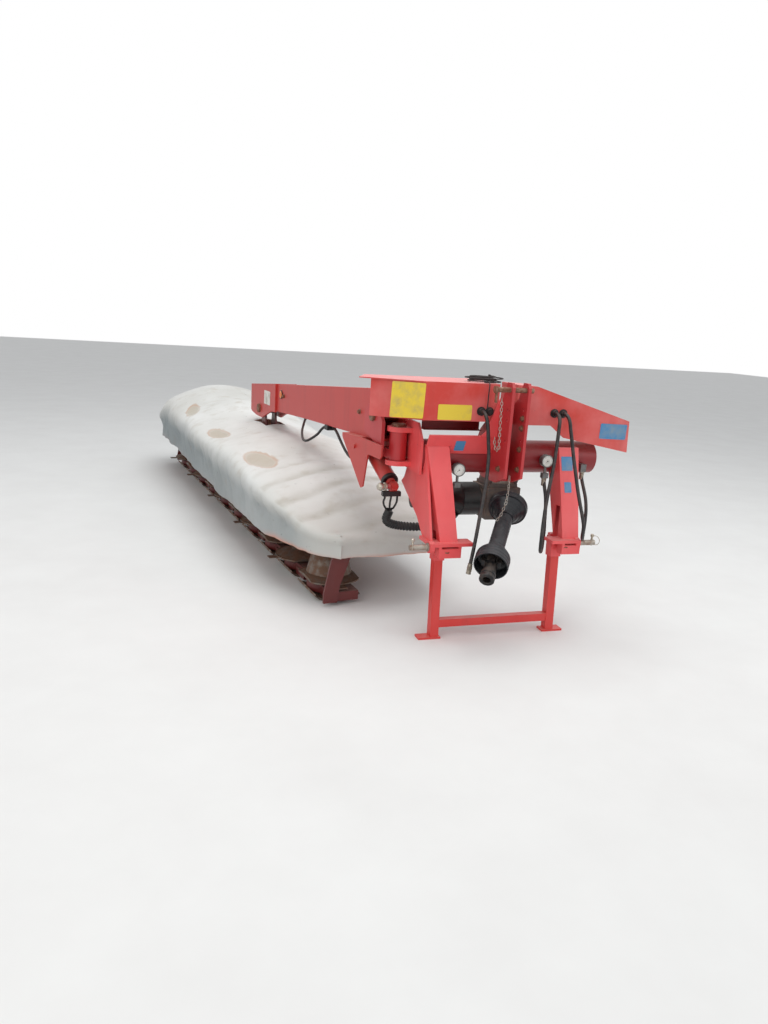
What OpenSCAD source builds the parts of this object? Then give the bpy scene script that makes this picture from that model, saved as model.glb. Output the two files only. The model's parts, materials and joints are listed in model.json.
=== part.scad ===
// Mounted disc mower, parked on its stand with the arm swung to the rear.
// X points right as seen from the tractor's seat looking back at the machine,
// Y points to the rear and Z up. Heights in the modules are above the floor,
// and placed() moves the origin to the middle of the lower hitch axis.

/* [Hitch] */
// Height of the lower hitch pins above the floor
hitch_h = 490; // [480:5:510]
// Distance between the shoulders of the two lower pins
hitch_spread = 825; // [815:5:845]
// Diameter of the lower hitch pins
hitch_pin_d = 28; // [22:1:36]
// Length of a lower hitch pin outside its shoulder
hitch_pin_len = 95; // [80:5:110]
// Height of the top link pin above the lower pins
mast_h = 765; // [745:5:775]
// Gap between the two mast plates
mast_gap = 70; // [56:2:84]
// Thickness of a mast plate
mast_t = 15; // [10:1:18]
// Diameter of the top link pin
top_pin_d = 25; // [19:1:30]

/* [Headstock] */
// Outer diameter of the cross tube
tube_d = 168; // [150:2:180]
// Wall of the cross tube
tube_wall = 8; // [5:1:12]
// Length of the cross tube to the left of the mast's middle
tube_left = 410; // [405:1:415]
// Length of the cross tube to the right of the mast's middle
tube_right = 570; // [500:10:620]
// Width of a leg at the cross tube
leg_top_w = 115; // [100:5:125]
// Width of a leg at the hitch bracket
leg_foot_w = 92; // [84:2:100]
// Sheet and plate thickness of the legs
leg_plate = 8; // [6:1:10]

/* [Hood] */
// Height of the hood's front face
hood_h = 185; // [160:5:195]
// Sheet thickness of the hood and the hose guard
hood_sheet = 5; // [3:1:7]

/* [Stand] */
// Side of the square stand legs
stand_leg = 45; // [36:1:50]
// Lean of the stand legs to the rear
stand_lean = 3.5; // [3:0.5:4]
// Height of the stand's cross bar above the floor
stand_bar_z = 76; // [70:2:120]
// Length of a foot plate
foot_len = 118; // [100:2:140]
// Width of a foot plate
foot_w = 58; // [56:2:100]
// Thickness of a foot plate
foot_t = 10; // [6:1:14]

/* [Arm] */
// Angle of the parked arm to the fore and aft line
park_angle = 7.5; // [6:0.5:9]
// Distance from the swing pin to the middle of the mowing unit
reach = 2330; // [2325:5:2400]
// Width of the arm's box section
arm_w = 130; // [110:2:132]
// Wall of the arm's box section
arm_wall = 8; // [5:1:12]
// Diameter of the swing pin
swing_pin_d = 50; // [40:2:56]
// Diameter of the lift pin
lift_pin_d = 40; // [30:2:46]
// Diameter of the float pin at the arm's end
float_pin_d = 45; // [36:1:50]
// Outer diameter of the lift cylinder
cylinder_d = 84; // [70:2:88]
// Diameter of the lift cylinder's rod
rod_d = 40; // [30:2:50]

/* [Mowing unit] */
// Number of cutting discs
discs = 10; // [10:1:10]
// Distance from one disc's axis to the next
disc_pitch = 420; // [415:1:430]
// Radius of a disc's plate at its long axis
disc_r = 182; // [170:2:190]
// Width of a disc's plate at its short axis
disc_w = 290; // [260:5:300]
// Radius of the circle that the knife tips cut
knife_r = 235; // [228:1:240]
// Width of a knife
knife_w = 48; // [40:2:50]
// Thickness of a knife
knife_t = 5; // [3:1:6]
// Depth of the cutter bar from front to rear
bar_w = 250; // [220:5:260]
// Thickness of the cutter bar
bar_t = 52; // [44:2:60]
// Height of the cutter bar's underside above the floor
bar_z = 26; // [22:1:32]

/* [Cover] */
// Half length of the cover along the bar
cover_half = 2190; // [2180:5:2220]
// Distance from the arm's line to the cover's front edge
cover_front = 490; // [480:5:520]
// Distance from the arm's line to the cover's rear edge
cover_rear = 520; // [500:5:560]
// Height of the cover's ridge over most of its length
cover_ridge = 620; // [610:5:640]
// Rise of the cover from its ridge to its middle
cover_crown = 90; // [70:5:110]
// Height of the hem above the floor
cover_hem = 270; // [240:5:300]
// Thickness of the cover's cloth
cover_t = 6; // [4:1:8]

/* [Drive] */
// Diameter of the drive shaft's guard tube
guard_d = 80; // [70:2:90]
// Diameter of the guard's rear cone
rear_cone_d = 200; // [170:2:204]
// Diameter of the guard's front cone
front_cone_d = 166; // [150:2:174]

/* [Hoses] */
// Outer diameter of a hydraulic hose
hose_d = 18; // [14:1:20]
// Diameter of the control rope
rope_d = 6; // [5:1:8]

/* [Hidden] */
$fn = 48;
// Small overlap that joins two solids of one welded piece
eps = 1;
// Running clearance round a pin, and the gap beside a moving plate
pin_gap = 0.25;
side_gap = 5;
// Gap between two pieces that rest on each other
seat = 0.3;

// Cross tube
tube_y = 250;
tube_z = 895;
tube_front = tube_y - tube_d / 2;
tube_top = tube_z + tube_d / 2;
// Shoulders of the lower hitch pins
shoulder = hitch_spread / 2;
boss_d = hitch_pin_d + 30;
// Legs: the front face leans back by leg_lean. Each row is a leg's distance from
// the middle at its foot and at its top, then that of its stand leg.
left_at = [306, 342, 333];
right_at = [367, 383, 318];
leg_top_z = 960;
leg_slice = 0.5;
leg_foot_z = hitch_h + 22;
leg_lean = 18;
leg_drop = (leg_top_z - leg_foot_z) * tan(leg_lean);
leg_depth_top = 130;
leg_depth_foot = 100;
gusset_x = 400;
gusset_t = 12;
// Hitch bracket under each leg: a wide upper plate and a clamp block
bracket_plate_t = 16;
bracket_reach = 120;
clamp_half = leg_foot_w / 2 + 12;
clamp_h = 46;
clamp_gap = 12;
clamp_y = [-26, 24];
// Stand legs and the sleeves that they slide in
stand_foot_y = 45;
stand_top_z = 500;
stand_gap = 0.8;
sleeve_wall = 5;
sleeve_foot_z = 405;
passage_top_z = 670;
foot_shift = [-27, 15];
// Top link pin
top_pin_z = hitch_h + mast_h;
top_pin_out = 78;
// Mast side plate outline as [rearward, height]
mast_front = -10;
mast_foot_z = 828;
mast_hole_d = 14;
mast_hole_z = [1160, 1110, 1010];
// Hood, seen from above as [across, rearward], and its front bend
hood_front = 125;
hood_back = 440;
hood_bend = -440;
hood_tip = [-730, 262];
hood_top = 1272;
hood_inner = -mast_gap / 2 - mast_t;
wing_out = 712;
wing_drop = 166;
wing_depth = 190;
// Swing pin and the ears that hold it
swing_at = [-475, 370];
ear_t = 24;
ear_z = [838, 1010];
ear_r = swing_pin_d / 2 + 35;
flange_t = 12;
flange_foot = ear_z[0] - ear_t / 2 - 14;
sleeve_r = swing_pin_d / 2 + 20;
sleeve_z0 = ear_z[0] + ear_t / 2 + 1.5;
sleeve_z1 = ear_z[1] - ear_t / 2 - 1.5;
// Knuckle plates and lift pin, as places along the arm and heights
lift_at = [130, 1060];
cheek_t = 18;
block_at = [62, 106];
block_z = sleeve_z0 + 5;
block_h = 46;
cheek_w = arm_w / 2 + side_gap;
// Lift cylinder between the knuckle and the arm's bracket
cyl_side = 22;
eye_slack = 4;
cyl_foot = [-20, 715];
cyl_head = [300, 872];
cyl_run = cyl_head - cyl_foot;
cyl_len = norm(cyl_run);
cyl_rise = atan2(cyl_run[1], cyl_run[0]);
eye_d = 52;
eye_w = 36;
eye_pin_d = 25;
barrel_len = cyl_len - 78;
// Arm box and its end bracket
arm_root = 70;
arm_joint = 1890;
arm_tip = reach + 158;
bracket_plate = 8;
bracket_shelf = 250;
bracket_w = [cyl_side - cylinder_d / 2 - 12, cyl_side + cylinder_d / 2 + 38];
end_plate = 14;
tower_w = 2 * (arm_w / 2 - end_plate - side_gap);
// Float pin at the arm's end, measured in the unit's frame
float_u = -80;
float_z = 835;
// Cutter bar and discs: the front of the unit is on the positive side
disc_line = 170;
bar_top = bar_z + bar_t;
disc_z = bar_top + 16;
disc_first = -(discs - 1) / 2 * disc_pitch;
end_arm_u = max((discs - 1) / 2 * disc_pitch + knife_r + 7, cover_half - 58);
bar_half = end_arm_u - seat;
spindle_d = 44;
spindle_h = 36;
skid_w = 300;
skid_t = 8;
// Carrier beam behind the discs, and its end arms
beam = 100;
beam_wall = 6;
tower_t = 14;
beam_side = -205;
beam_z = 290;
end_arm_t = 14;
bridge_z = 322;
bridge_t = 10;
bridge_len = 340;
// Line of the cover's crown, and the places where its profiles stand
spine_side = -20;
cover_us = [-cover_half, 90 - cover_half, -1700, -1300, -900, 1700, cover_half - 90, cover_half];
cover_far_rise = 60;
cover_near_drop = 210;
hoop_us = [740 - cover_half, -700, 700, cover_half - 740];
hoop_t = 8;
hoop_gap = 1.4;
hoop_w = 34;
rail_d = 27;
// Drive shaft from the gearbox to the yoke that meets the tractor
pto_in = [91, 182, 649];
pto_out = [-190, -220, 410];
pto_run = pto_out - pto_in;
pto_len = norm(pto_run);
gearbox_at = [91, 345, 649];
gearbox_side = 190;
shaft_d = 54;
ball_d = 40;
drum_d = 176;
// Gauges as [across, rearward, height, foot of the fitting below], and a hose port
gauges = [[-232, 150, 846, -90], [253, 150, 893, -90]];
port_at = [472, 150, 836];
// Hose routes, chosen by hand: [across, rearward, height]
grommet_z = hood_top - 134;
grommet_d = 44;
grommet_x = [-142, -98, 262, 312];
hose_left_path = [
    [-142, 107, 1138], [-142, 98, 1138], [-142, 84, 1134], [-141, 70, 1126], [-139, 59, 1113],
    [-136, 53, 1095], [-132, 50, 1070], [-125, 47, 1010], [-119, 41, 945], [-122, 30, 870],
    [-133, 14, 790], [-150, -6, 710], [-168, -26, 630], [-184, -42, 550], [-198, -54, 480], [-210, -62, 420],
];
hose_mid_path = [
    [262, 107, 1138], [262, 98, 1138], [262, 84, 1134], [261, 70, 1126], [260, 59, 1113], [258, 53, 1095],
    [256, 50, 1070], [252, 44, 1010], [244, 34, 940], [230, 20, 860], [212, 4, 780], [195, -14, 700],
    [180, -34, 620], [172, -46, 565], [170, -50, 528], [174, -43, 491], [188, -21, 459], [216, 20, 444],
    [240, 55, 456], [256, 81, 486], [262, 90, 528], [262, 96, 590], [262, 102, 650], [260, 110, 705],
    [256, 122, 748], [254, 132, 776], [253, 137, 792], [253, 137, 802.7],
];
hose_right_path = [
    [312, 107, 1138], [312, 98, 1138], [312, 84, 1134], [313, 70, 1126], [315, 59, 1113], [318, 53, 1095],
    [322, 50, 1070], [332, 40, 1010], [344, 26, 930], [356, 8, 850], [366, -14, 770], [375, -38, 700],
    [383, -58, 645], [389, -70, 597], [395, -61, 555], [412, -36, 525], [436, -2, 514],
    [459, 32, 525], [477, 57, 555], [483, 66, 597], [486, 76, 650], [486, 92, 700], [481, 114, 750],
    [475, 130, 790], [472, 137, 818], [472, 137, 835.7],
];
coupler_d = 25;
coupler_len = 54;
// Control rope: a loose heap on the hood and its tail down the front
rope_coil_at = [-96, 232];
rope_coil_r = 72;
rope_coil_h = 26;
rope_path = [
    [-110, 134, 1281], [-111, 127, 1281], [-112, 120, 1278], [-113, 114, 1271], [-114, 111, 1261],
    [-115, 110, 1245], [-116, 110, 1220], [-116, 110, 1190], [-117, 110, 1152],
];

// Point a share f of the way from a to b
function between(a, b, f) = a + (b - a) * f;
function unit_vector(v) = v / norm(v);

// Ridge height of the cover at place u, low at the end near the headstock
function ridge_at(u) = lookup(u, [
    [-cover_half, cover_ridge - cover_near_drop], [-1700, cover_ridge - 100], [-1300, cover_ridge - 30],
    [-900, cover_ridge], [cover_half, cover_ridge + cover_far_rise],
]);
// Front and rear edges of the cover at place u
function front_at(u) = lookup(u, [
    [-cover_half, 200], [90 - cover_half, 345], [-1700, cover_front],
    [1700, cover_front], [cover_half - 90, 370], [cover_half, 220],
]);
function rear_at(u) = -lookup(u, [
    [-cover_half, 300], [90 - cover_half, cover_rear - 60], [-1700, cover_rear], [1700, cover_rear],
    [cover_half - 90, cover_rear - 60], [cover_half, 300],
]);
// Underside of the arm at a place along it, less the seat of what hangs there
function arm_bottom(s) = lookup(s, [[arm_root, 934], [1250, 891], [arm_joint, 858]]) - seat;
// Rise of the cover's middle over its edges at place u
function crown_at(u) = cover_crown * lookup(u, [
    [-cover_half, 0.1], [90 - cover_half, 0.35], [-1700, 1], [1700, 1], [cover_half - 90, 0.35], [cover_half, 0.1],
]);
// Places between an edge, 0, and the spine, 1, where the cover's profile has points
cover_inward = [0.12, 0.35, 0.62, 0.85];
// Profile of the cover across place u as [side, height], drawn inset from the outer cloth
function cover_profile(u, inset, foot) = let (
    f = front_at(u) - inset, r = rear_at(u) + inset, z = ridge_at(u) - inset, top = crown_at(u)
) concat(
    [[f, foot], [f, z - 16], [f - 14, z]],
    [for (i = [0:3]) [between(f - 14, spine_side, cover_inward[i]), z + top * sin(90 * cover_inward[i])]],
    [for (i = [3:-1:0]) [between(r + 14, spine_side, cover_inward[i]), z + top * sin(90 * cover_inward[i])]],
    [[r + 14, z], [r, z - 16], [r, foot]]
);

module placed() { translate([0, 0, -hitch_h]) children(); }
module at_swing() { translate([swing_at[0], swing_at[1], 0]) rotate([0, 0, 90 + park_angle]) children(); }
module at_unit() { at_swing() translate([reach, 0, 0]) children(); }
// Plate that stands across the machine's X axis, its outline given as [rearward, height]
module plate_x(x, t, points) { translate([x, 0, 0]) rotate([90, 0, 90]) linear_extrude(t) polygon(points); }
// Plate that stands along the arm, its outline given as [along, height]
module plate_side(side, t, points) {
    translate([0, side + t, 0]) rotate([90, 0, 0]) linear_extrude(t) polygon(points);
}
module pin_across(at, d, w0, w1) { translate([at[0], w1, at[1]]) rotate([90, 0, 0]) cylinder(d = d, h = w1 - w0); }
// Turns Z to the direction of v
module aim(v) {
    rotate([0, 0, atan2(v[1], v[0])]) rotate([0, acos(v[2] / norm(v)), 0]) children();
}
module both_sides() { for (side = [-1, 1]) scale_side(side) children(); }
module scale_side(side) { if (side < 0) mirror([1, 0, 0]) children(); else children(); }

// Tube swept along a list of points, with ring turned square to the route
sweep_sides = 8;
function sweep_dir(path, i) = unit_vector(
    path[min(i + 1, len(path) - 1)] - path[max(i - 1, 0)]);
function sweep_ring(p, d, r) = let (
    a = unit_vector(cross(d, abs(d[2]) > 0.8 ? [0, 1, 0] : [0, 0, 1])), b = cross(d, a)
) [for (k = [0:sweep_sides - 1]) p + r * (cos(360 * k / sweep_sides) * a + sin(360 * k / sweep_sides) * b)];
module sweep(path, d) {
    n = len(path);
    points = [for (i = [0:n - 1]) each sweep_ring(path[i], sweep_dir(path, i), d / 2)];
    sides = [for (i = [0:n - 2], k = [0:sweep_sides - 1]) let (
        a = i * sweep_sides + k, b = i * sweep_sides + (k + 1) % sweep_sides
    ) each [[a, b, b + sweep_sides], [a, b + sweep_sides, a + sweep_sides]]];
    caps = [[for (k = [sweep_sides - 1:-1:0]) k], [for (k = [0:sweep_sides - 1]) (n - 1) * sweep_sides + k]];
    polyhedron(points, concat(sides, caps), convexity = 8);
}

module cross_tube() {
    color("firebrick") translate([-tube_left, tube_y, tube_z]) rotate([0, 90, 0]) difference() {
        cylinder(d = tube_d, h = tube_left + tube_right);
        translate([0, 0, -eps]) cylinder(d = tube_d - 2 * tube_wall, h = tube_left + tube_right - tube_wall);
    }
}

// Flange on the tube's left end with two ears for the swing pin
module pivot_ears() {
    color("firebrick") {
        flange = [
            [172, flange_foot], [396, flange_foot], [424, flange_foot + 40], [424, 1030], [380, 1060], [240, 1060],
            [172, 980],
        ];
        plate_x(-tube_left - flange_t, flange_t, flange);
        for (z = ear_z) translate([0, 0, z - ear_t / 2]) difference() {
            union() {
                translate([swing_at[0], swing_at[1], 0]) cylinder(r = ear_r, h = ear_t);
                translate([swing_at[0], swing_at[1] - ear_r, 0])
                    cube([-tube_left - flange_t + eps - swing_at[0], 2 * ear_r - 6, ear_t]);
            }
            translate([swing_at[0], swing_at[1], -eps])
                cylinder(d = swing_pin_d + 2 * pin_gap, h = ear_t + 2 * eps);
        }
    }
}

module swing_pin() {
    color("silver") translate([swing_at[0], swing_at[1], 0]) {
        translate([0, 0, ear_z[0] - ear_t / 2 - 2]) cylinder(d = swing_pin_d, h = ear_z[1] - ear_z[0] + ear_t + 2 + seat);
        translate([0, 0, ear_z[1] + ear_t / 2 + seat]) cylinder(d = swing_pin_d + 22, h = 14);
    }
}

// Two side plates, joined round the tube by a web at the back
module mast() {
    side = [
        [mast_front, mast_foot_z], [mast_front, top_pin_z + 12], [mast_front + 14, top_pin_z + 34],
        [48, top_pin_z + 34], [84, 1210], [310, 1030], [348, 960], [340, 830], [250, 790], [90, 790],
    ];
    color("firebrick") {
        for (x = [-mast_gap / 2 - mast_t, mast_gap / 2]) difference() {
            plate_x(x, mast_t, side);
            translate([x - eps, tube_y, tube_z]) rotate([0, 90, 0])
                cylinder(d = tube_d + 2 * seat, h = mast_t + 2 * eps);
            translate([x - eps, 15, top_pin_z]) rotate([0, 90, 0])
                cylinder(d = top_pin_d + 2 * pin_gap, h = mast_t + 2 * eps);
            for (z = mast_hole_z) translate([x - eps, 22, z]) rotate([0, 90, 0])
                cylinder(d = mast_hole_d, h = mast_t + 2 * eps);
        }
        translate([-mast_gap / 2 - eps, 120, 1080]) cube([mast_gap + 2 * eps, 12, 110]);
        translate([-mast_gap / 2 - eps, 110, 792]) cube([mast_gap + 2 * eps, 104, 10]);
    }
}

module top_link_pin() {
    left = -mast_gap / 2 - mast_t - top_pin_out;
    color("silver") translate([0, 15, top_pin_z]) rotate([0, 90, 0]) {
        translate([0, 0, left]) cylinder(d = top_pin_d, h = mast_gap / 2 + mast_t + 22 - left);
        translate([0, 0, left - 4]) cylinder(d = top_pin_d + 9, h = 14);
    }
    color("silver") translate([left + 3, 8, top_pin_z - 62]) cube([8, 14, 62]);
}

// Leg: a leaning box, with the hitch bracket and the stand's sleeve at its foot.
// It is drawn on the right side, at = [foot, top, stand] as distances from the middle.
module leg_shell(at, inset) {
    hull() {
        translate([at[1] - leg_top_w / 2 + inset, leg_drop + inset, leg_top_z])
            cube([leg_top_w - 2 * inset, leg_depth_top - 2 * inset, leg_slice]);
        translate([at[0] - leg_foot_w / 2 + inset, inset, leg_foot_z])
            cube([leg_foot_w - 2 * inset, leg_depth_foot - 2 * inset, leg_slice]);
    }
}
// Square bar along a stand leg, grown on all sides, between two heights
module stand_bar(x, grow, z0, z1) {
    side = stand_leg + 2 * grow;
    translate([x, stand_foot_y, 0]) rotate([-stand_lean, 0, 0])
        translate([-side / 2, -side / 2, z0]) cube([side, side, z1 - z0]);
}
module tube_void(x0, x1) {
    translate([x0, tube_y, tube_z]) rotate([0, 90, 0]) cylinder(d = tube_d + 2 * seat, h = x1 - x0);
}
module leg(at, gusset) {
    under = leg_foot_z - bracket_plate_t;
    inner = at[0] - bracket_reach;
    outer = shoulder - seat;
    clamp_out = min(at[0] + clamp_half, outer);
    color("firebrick") difference() {
        union() {
            difference() {
                leg_shell(at, 0);
                translate([0, 0, -eps]) leg_shell(at, leg_plate);
                translate([0, 0, 2 * eps]) leg_shell(at, leg_plate);
            }
            translate([at[0] - clamp_half, -20, under]) cube([outer - at[0] + clamp_half, 150, bracket_plate_t + eps]);
            translate([inner, -30, under]) cube([outer - inner, 84, bracket_plate_t]);
            translate([at[0] - clamp_half, clamp_y[0], under - clamp_gap - clamp_h])
                cube([clamp_out - at[0] + clamp_half, clamp_y[1] - clamp_y[0], clamp_h]);
            for (x = [at[0] - clamp_half, clamp_out - 14]) translate([x, clamp_y[0], under - clamp_gap - eps])
                cube([14, clamp_y[1] - clamp_y[0], clamp_gap + 2 * eps]);
            translate([outer - 24, 0, hitch_h]) rotate([0, 90, 0]) cylinder(d = boss_d, h = 24);
            stand_bar(at[2], stand_gap + sleeve_wall, sleeve_foot_z, leg_foot_z - 2);
            if (gusset) plate_x(gusset_x - gusset_t, gusset_t, [
                [8, leg_foot_z - eps], [125, leg_foot_z - eps], [218, 588], [490, 716], [448, 748], [388, 860],
                [330, 930], [leg_drop + 10, 950], [leg_drop, 900],
            ]);
        }
        stand_bar(at[2], stand_gap, 0, passage_top_z);
        tube_void(0, 600);
    }
}
module leg_left() { mirror([1, 0, 0]) leg(left_at, true); }
module leg_right() { leg(right_at, false); }

module hitch_pins() {
    color("dimgray") both_sides() translate([shoulder + seat, 0, hitch_h]) rotate([0, 90, 0]) difference() {
        union() {
            cylinder(d = hitch_pin_d, h = hitch_pin_len);
            cylinder(d = hitch_pin_d + 14, h = 6);
        }
        translate([-20, 0, hitch_pin_len - 14]) rotate([0, 90, 0]) cylinder(d = 11, h = 60);
    }
}

// Stand: two leaning legs joined by a cross bar, with a foot plate under each
module stand() {
    bar_y = stand_foot_y + stand_bar_z * tan(stand_lean);
    color("firebrick") {
        for (side = [0, 1]) {
            x = side == 0 ? -left_at[2] : right_at[2];
            difference() {
                stand_bar(x, 0, -20, stand_top_z);
                translate([x - 100, stand_foot_y - 100, -60]) cube([200, 200, 60 + foot_t / 2]);
            }
            translate([x + foot_shift[side] - foot_len / 2, stand_foot_y - foot_w / 2, 0])
                cube([foot_len, foot_w, foot_t]);
        }
        translate([-left_at[2], bar_y - 20, stand_bar_z - 20]) cube([left_at[2] + right_at[2], 40, 40]);
    }
}

// Saddle: a slanted sheet from the tube up to the hood, with a gusset beside the mast
module tube_saddle() {
    inner = -mast_gap / 2 - mast_t - seat;
    left = -tube_left + 6;
    foot = [tube_y - 79, tube_z + 30];
    top_z = 1018;
    color("firebrick") {
        difference() {
            plate_x(left, inner - left, [foot, [foot[0] - 8, foot[1] - 4], [112, top_z - 2], [119, top_z + 2]]);
            translate([left - eps, 0, leg_top_z + leg_slice + seat - 100])
                cube([leg_top_w / 2 + side_gap - left_at[1] - left + eps, tube_y, 100]);
        }
        translate([0, 116, 0]) rotate([90, 0, 0]) linear_extrude(8) polygon([
            [inner, top_z - 2], [inner, 1205], [-112, 1040], [-140, top_z - 2],
        ]);
    }
}

// Hood over the pivot: a folded sheet, open below and behind
module hood() {
    inner = hood_inner - seat;
    top = [hood_tip, [hood_bend, hood_front], [inner, hood_front], [inner, hood_back], [-650, hood_back]];
    skin = [hood_tip + [60, 0], [hood_bend, hood_front], [inner, hood_front], [inner, hood_front + hood_sheet],
        [hood_bend + 2, hood_front + hood_sheet], hood_tip + [62, hood_sheet]];
    color("firebrick") {
        translate([0, 0, hood_top - hood_sheet]) linear_extrude(hood_sheet) polygon(top);
        translate([0, 0, hood_top - hood_h]) linear_extrude(hood_h - eps) polygon(skin);
        plate_x(inner - hood_sheet, hood_sheet, [
            [hood_front, hood_top - hood_h], [320, 1100], [hood_back, 1180],
            [hood_back, hood_top - eps], [hood_front, hood_top - eps],
        ]);
    }
}

// Hose guard: the hood's right wing, a bent sheet that drops to its outer end
module hose_guard() {
    inner = mast_gap / 2 + mast_t + seat;
    color("firebrick") {
        translate([0, hood_front + hood_sheet, 0]) rotate([90, 0, 0]) linear_extrude(hood_sheet) polygon([
            [inner, 1075], [inner, hood_top], [155, hood_top - 4], [wing_out, hood_top - wing_drop],
            [wing_out + 8, 942], [332, 1014], [250, 1075],
        ]);
        translate([0, hood_front + wing_depth, 0]) rotate([90, 0, 0]) linear_extrude(wing_depth) polygon([
            [inner, hood_top - hood_sheet], [inner, hood_top], [155, hood_top - 4],
            [wing_out, hood_top - wing_drop], [wing_out - 2, hood_top - wing_drop - hood_sheet],
            [154, hood_top - 4 - hood_sheet],
        ]);
        plate_x(inner, hood_sheet, [
            [hood_front, 1075], [hood_front + wing_depth, 1090], [hood_front + wing_depth, hood_top - eps],
            [hood_front, hood_top - eps],
        ]);
    }
}

module grommets() {
    color("black") for (x = grommet_x) translate([x, hood_front - seat, grommet_z]) rotate([90, 0, 0]) {
        cylinder(d = grommet_d, h = 6);
        cylinder(d1 = grommet_d - 10, d2 = hose_d + 8, h = 18 - seat);
    }
}

// Two round dial gauges and a hose port, each on a short stub from the tube
module hydraulic_ports() {
    gauge_d = 64;
    color("silver") difference() {
        union() for (g = gauges) translate([g[0], g[1], g[2]]) {
            rotate([90, 0, 0]) cylinder(d = gauge_d, h = 26);
            rotate([-90, 0, 0]) translate([0, 0, -eps]) cylinder(d = 24, h = tube_y - g[1]);
            translate([0, -13, g[3]]) cylinder(d = 14, h = -g[3]);
            translate([-16, -26, g[3]]) cube([32, 26, 26]);
        }
        tube_void(-300, 600);
    }
    color("dimgray") difference() {
        translate([port_at[0] - 16, port_at[1] - 26, port_at[2]]) cube([32, tube_y - port_at[1] + 26, 40]);
        tube_void(-300, 600);
    }
}

// Input gearbox hung under the tube, with a ball at its input for the drive shaft
module input_gearbox() {
    half = gearbox_side / 2;
    ear = [
        [gearbox_at[1] - 70, gearbox_at[2] + half - 16], [gearbox_at[1] + 70, gearbox_at[2] + half - 16],
        [gearbox_at[1] + 10, tube_z - tube_d / 2 + 40], [tube_y + tube_d / 2, tube_z],
        [tube_y, tube_z - tube_d / 2 + 10], [tube_y - 20, tube_z - tube_d / 2 - 8],
    ];
    color("dimgray") {
        translate(gearbox_at) {
            translate([-half, -half, -half]) cube([gearbox_side, gearbox_side, gearbox_side - 20]);
            translate([-half + 14, -half + 14, half - 21]) cube([gearbox_side - 28, gearbox_side - 28, 20]);
            for (a = [[0, -1, 0], [-1, 0, 0], [0, 1, 0]]) aim(a) cylinder(d = 120, h = half + 16);
        }
        translate(pto_in) rotate([-90, 0, 0]) cylinder(d = ball_d - 8, h = gearbox_at[1] - half - pto_in[1]);
        translate(pto_in) sphere(d = ball_d);
    }
    color("firebrick") difference() {
        for (x = [-1, 1]) plate_x(gearbox_at[0] + x * (half - 22) - 6, 12, ear);
        tube_void(-300, 600);
    }
}

// Black guard over the cross drive from the gearbox to the pivot side
module transmission_guard() {
    start = gearbox_at[0] - gearbox_side / 2 - 16 - seat;
    color("black") translate([start, gearbox_at[1], gearbox_at[2]]) rotate([0, -90, 0]) {
        cylinder(d = drum_d - 30, h = 10);
        translate([0, 0, 9]) cylinder(d = drum_d, h = 96);
        translate([0, 0, 104]) cylinder(d1 = drum_d - 14, d2 = 96, h = 44);
        translate([0, 0, 140]) cylinder(d = 92, h = start + gusset_x - gusset_t - 140 - seat);
    }
}

// Guard of the drive shaft: a tube on two bearing rings, with a cone at each end
module pto_guard() {
    bore = guard_d - 10;
    front = pto_len - 128;
    start = 9;
    color("black") translate(pto_in) aim(pto_run) difference() {
        union() {
            translate([0, 0, start]) cylinder(d1 = rear_cone_d, d2 = rear_cone_d - 6, h = 44 - start);
            translate([0, 0, 43]) cylinder(d1 = rear_cone_d - 20, d2 = guard_d + 8, h = 52);
            translate([0, 0, 90]) cylinder(d = guard_d, h = front - 102);
            translate([0, 0, 96]) cylinder(d = guard_d + 8, h = 18);
            translate([0, 0, front - 66]) cylinder(d1 = guard_d + 6, d2 = front_cone_d, h = 62);
            translate([0, 0, front - 5]) cylinder(d = front_cone_d, h = 66);
        }
        translate([0, 0, -eps]) cylinder(d = rear_cone_d - 18, h = 42);
        translate([0, 0, 40]) cylinder(d1 = rear_cone_d - 32, d2 = bore, h = 50);
        translate([0, 0, -eps]) cylinder(d = shaft_d + 2 * pin_gap, h = pto_len);
        translate([0, 0, 116]) cylinder(d = bore, h = front - 160);
        translate([0, 0, front - 24]) cylinder(d1 = bore, d2 = front_cone_d - 12, h = 24 + eps);
        translate([0, 0, front]) cylinder(d = front_cone_d - 10, h = 70);
    }
}

// Shaft and yokes that turn inside the guard
module pto_shaft() {
    yoke_bore = 35;
    front = pto_len - 128;
    color("dimgray") translate(pto_in) aim(pto_run) difference() {
        union() {
            translate([0, 0, 4]) cylinder(d = 72, h = 40);
            translate([0, 0, 43]) cylinder(d = shaft_d, h = front - 40);
            translate([0, 0, front + 2]) cylinder(d = 100, h = 22);
            for (a = [0, 90, 180, 270]) rotate([0, 0, a]) translate([28, -17, front + 20])
                cube([20, 34, a % 180 == 0 ? 50 : 26]);
            translate([-30, -13, front + 44]) cube([60, 26, 26]);
            translate([0, 0, front + 62]) cylinder(d = 64, h = 66);
        }
        translate([0, 0, front + 68]) cylinder(d = yoke_bore, h = 70);
        sphere(d = ball_d + 2 * seat);
    }
}

module hose_left() { color("black") sweep(hose_left_path, hose_d); }
module hose_coupler() {
    n = len(hose_left_path);
    color("dimgray") translate(hose_left_path[n - 1]) aim(hose_left_path[n - 1] - hose_left_path[n - 2]) {
        cylinder(d = coupler_d, h = coupler_len - 20);
        translate([0, 0, coupler_len - 21]) cylinder(d = coupler_d - 8, h = 21);
    }
}
module hose_middle() { color("black") sweep(hose_mid_path, hose_d); }
module hose_right() { color("black") sweep(hose_right_path, hose_d); }
module control_rope() { color("black") sweep(rope_path, rope_d); }
module rope_heap() {
    color("black") translate([rope_coil_at[0], rope_coil_at[1], hood_top + seat]) rotate_extrude()
        translate([rope_coil_r - 26, 0]) square([52, rope_coil_h]);
}

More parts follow.
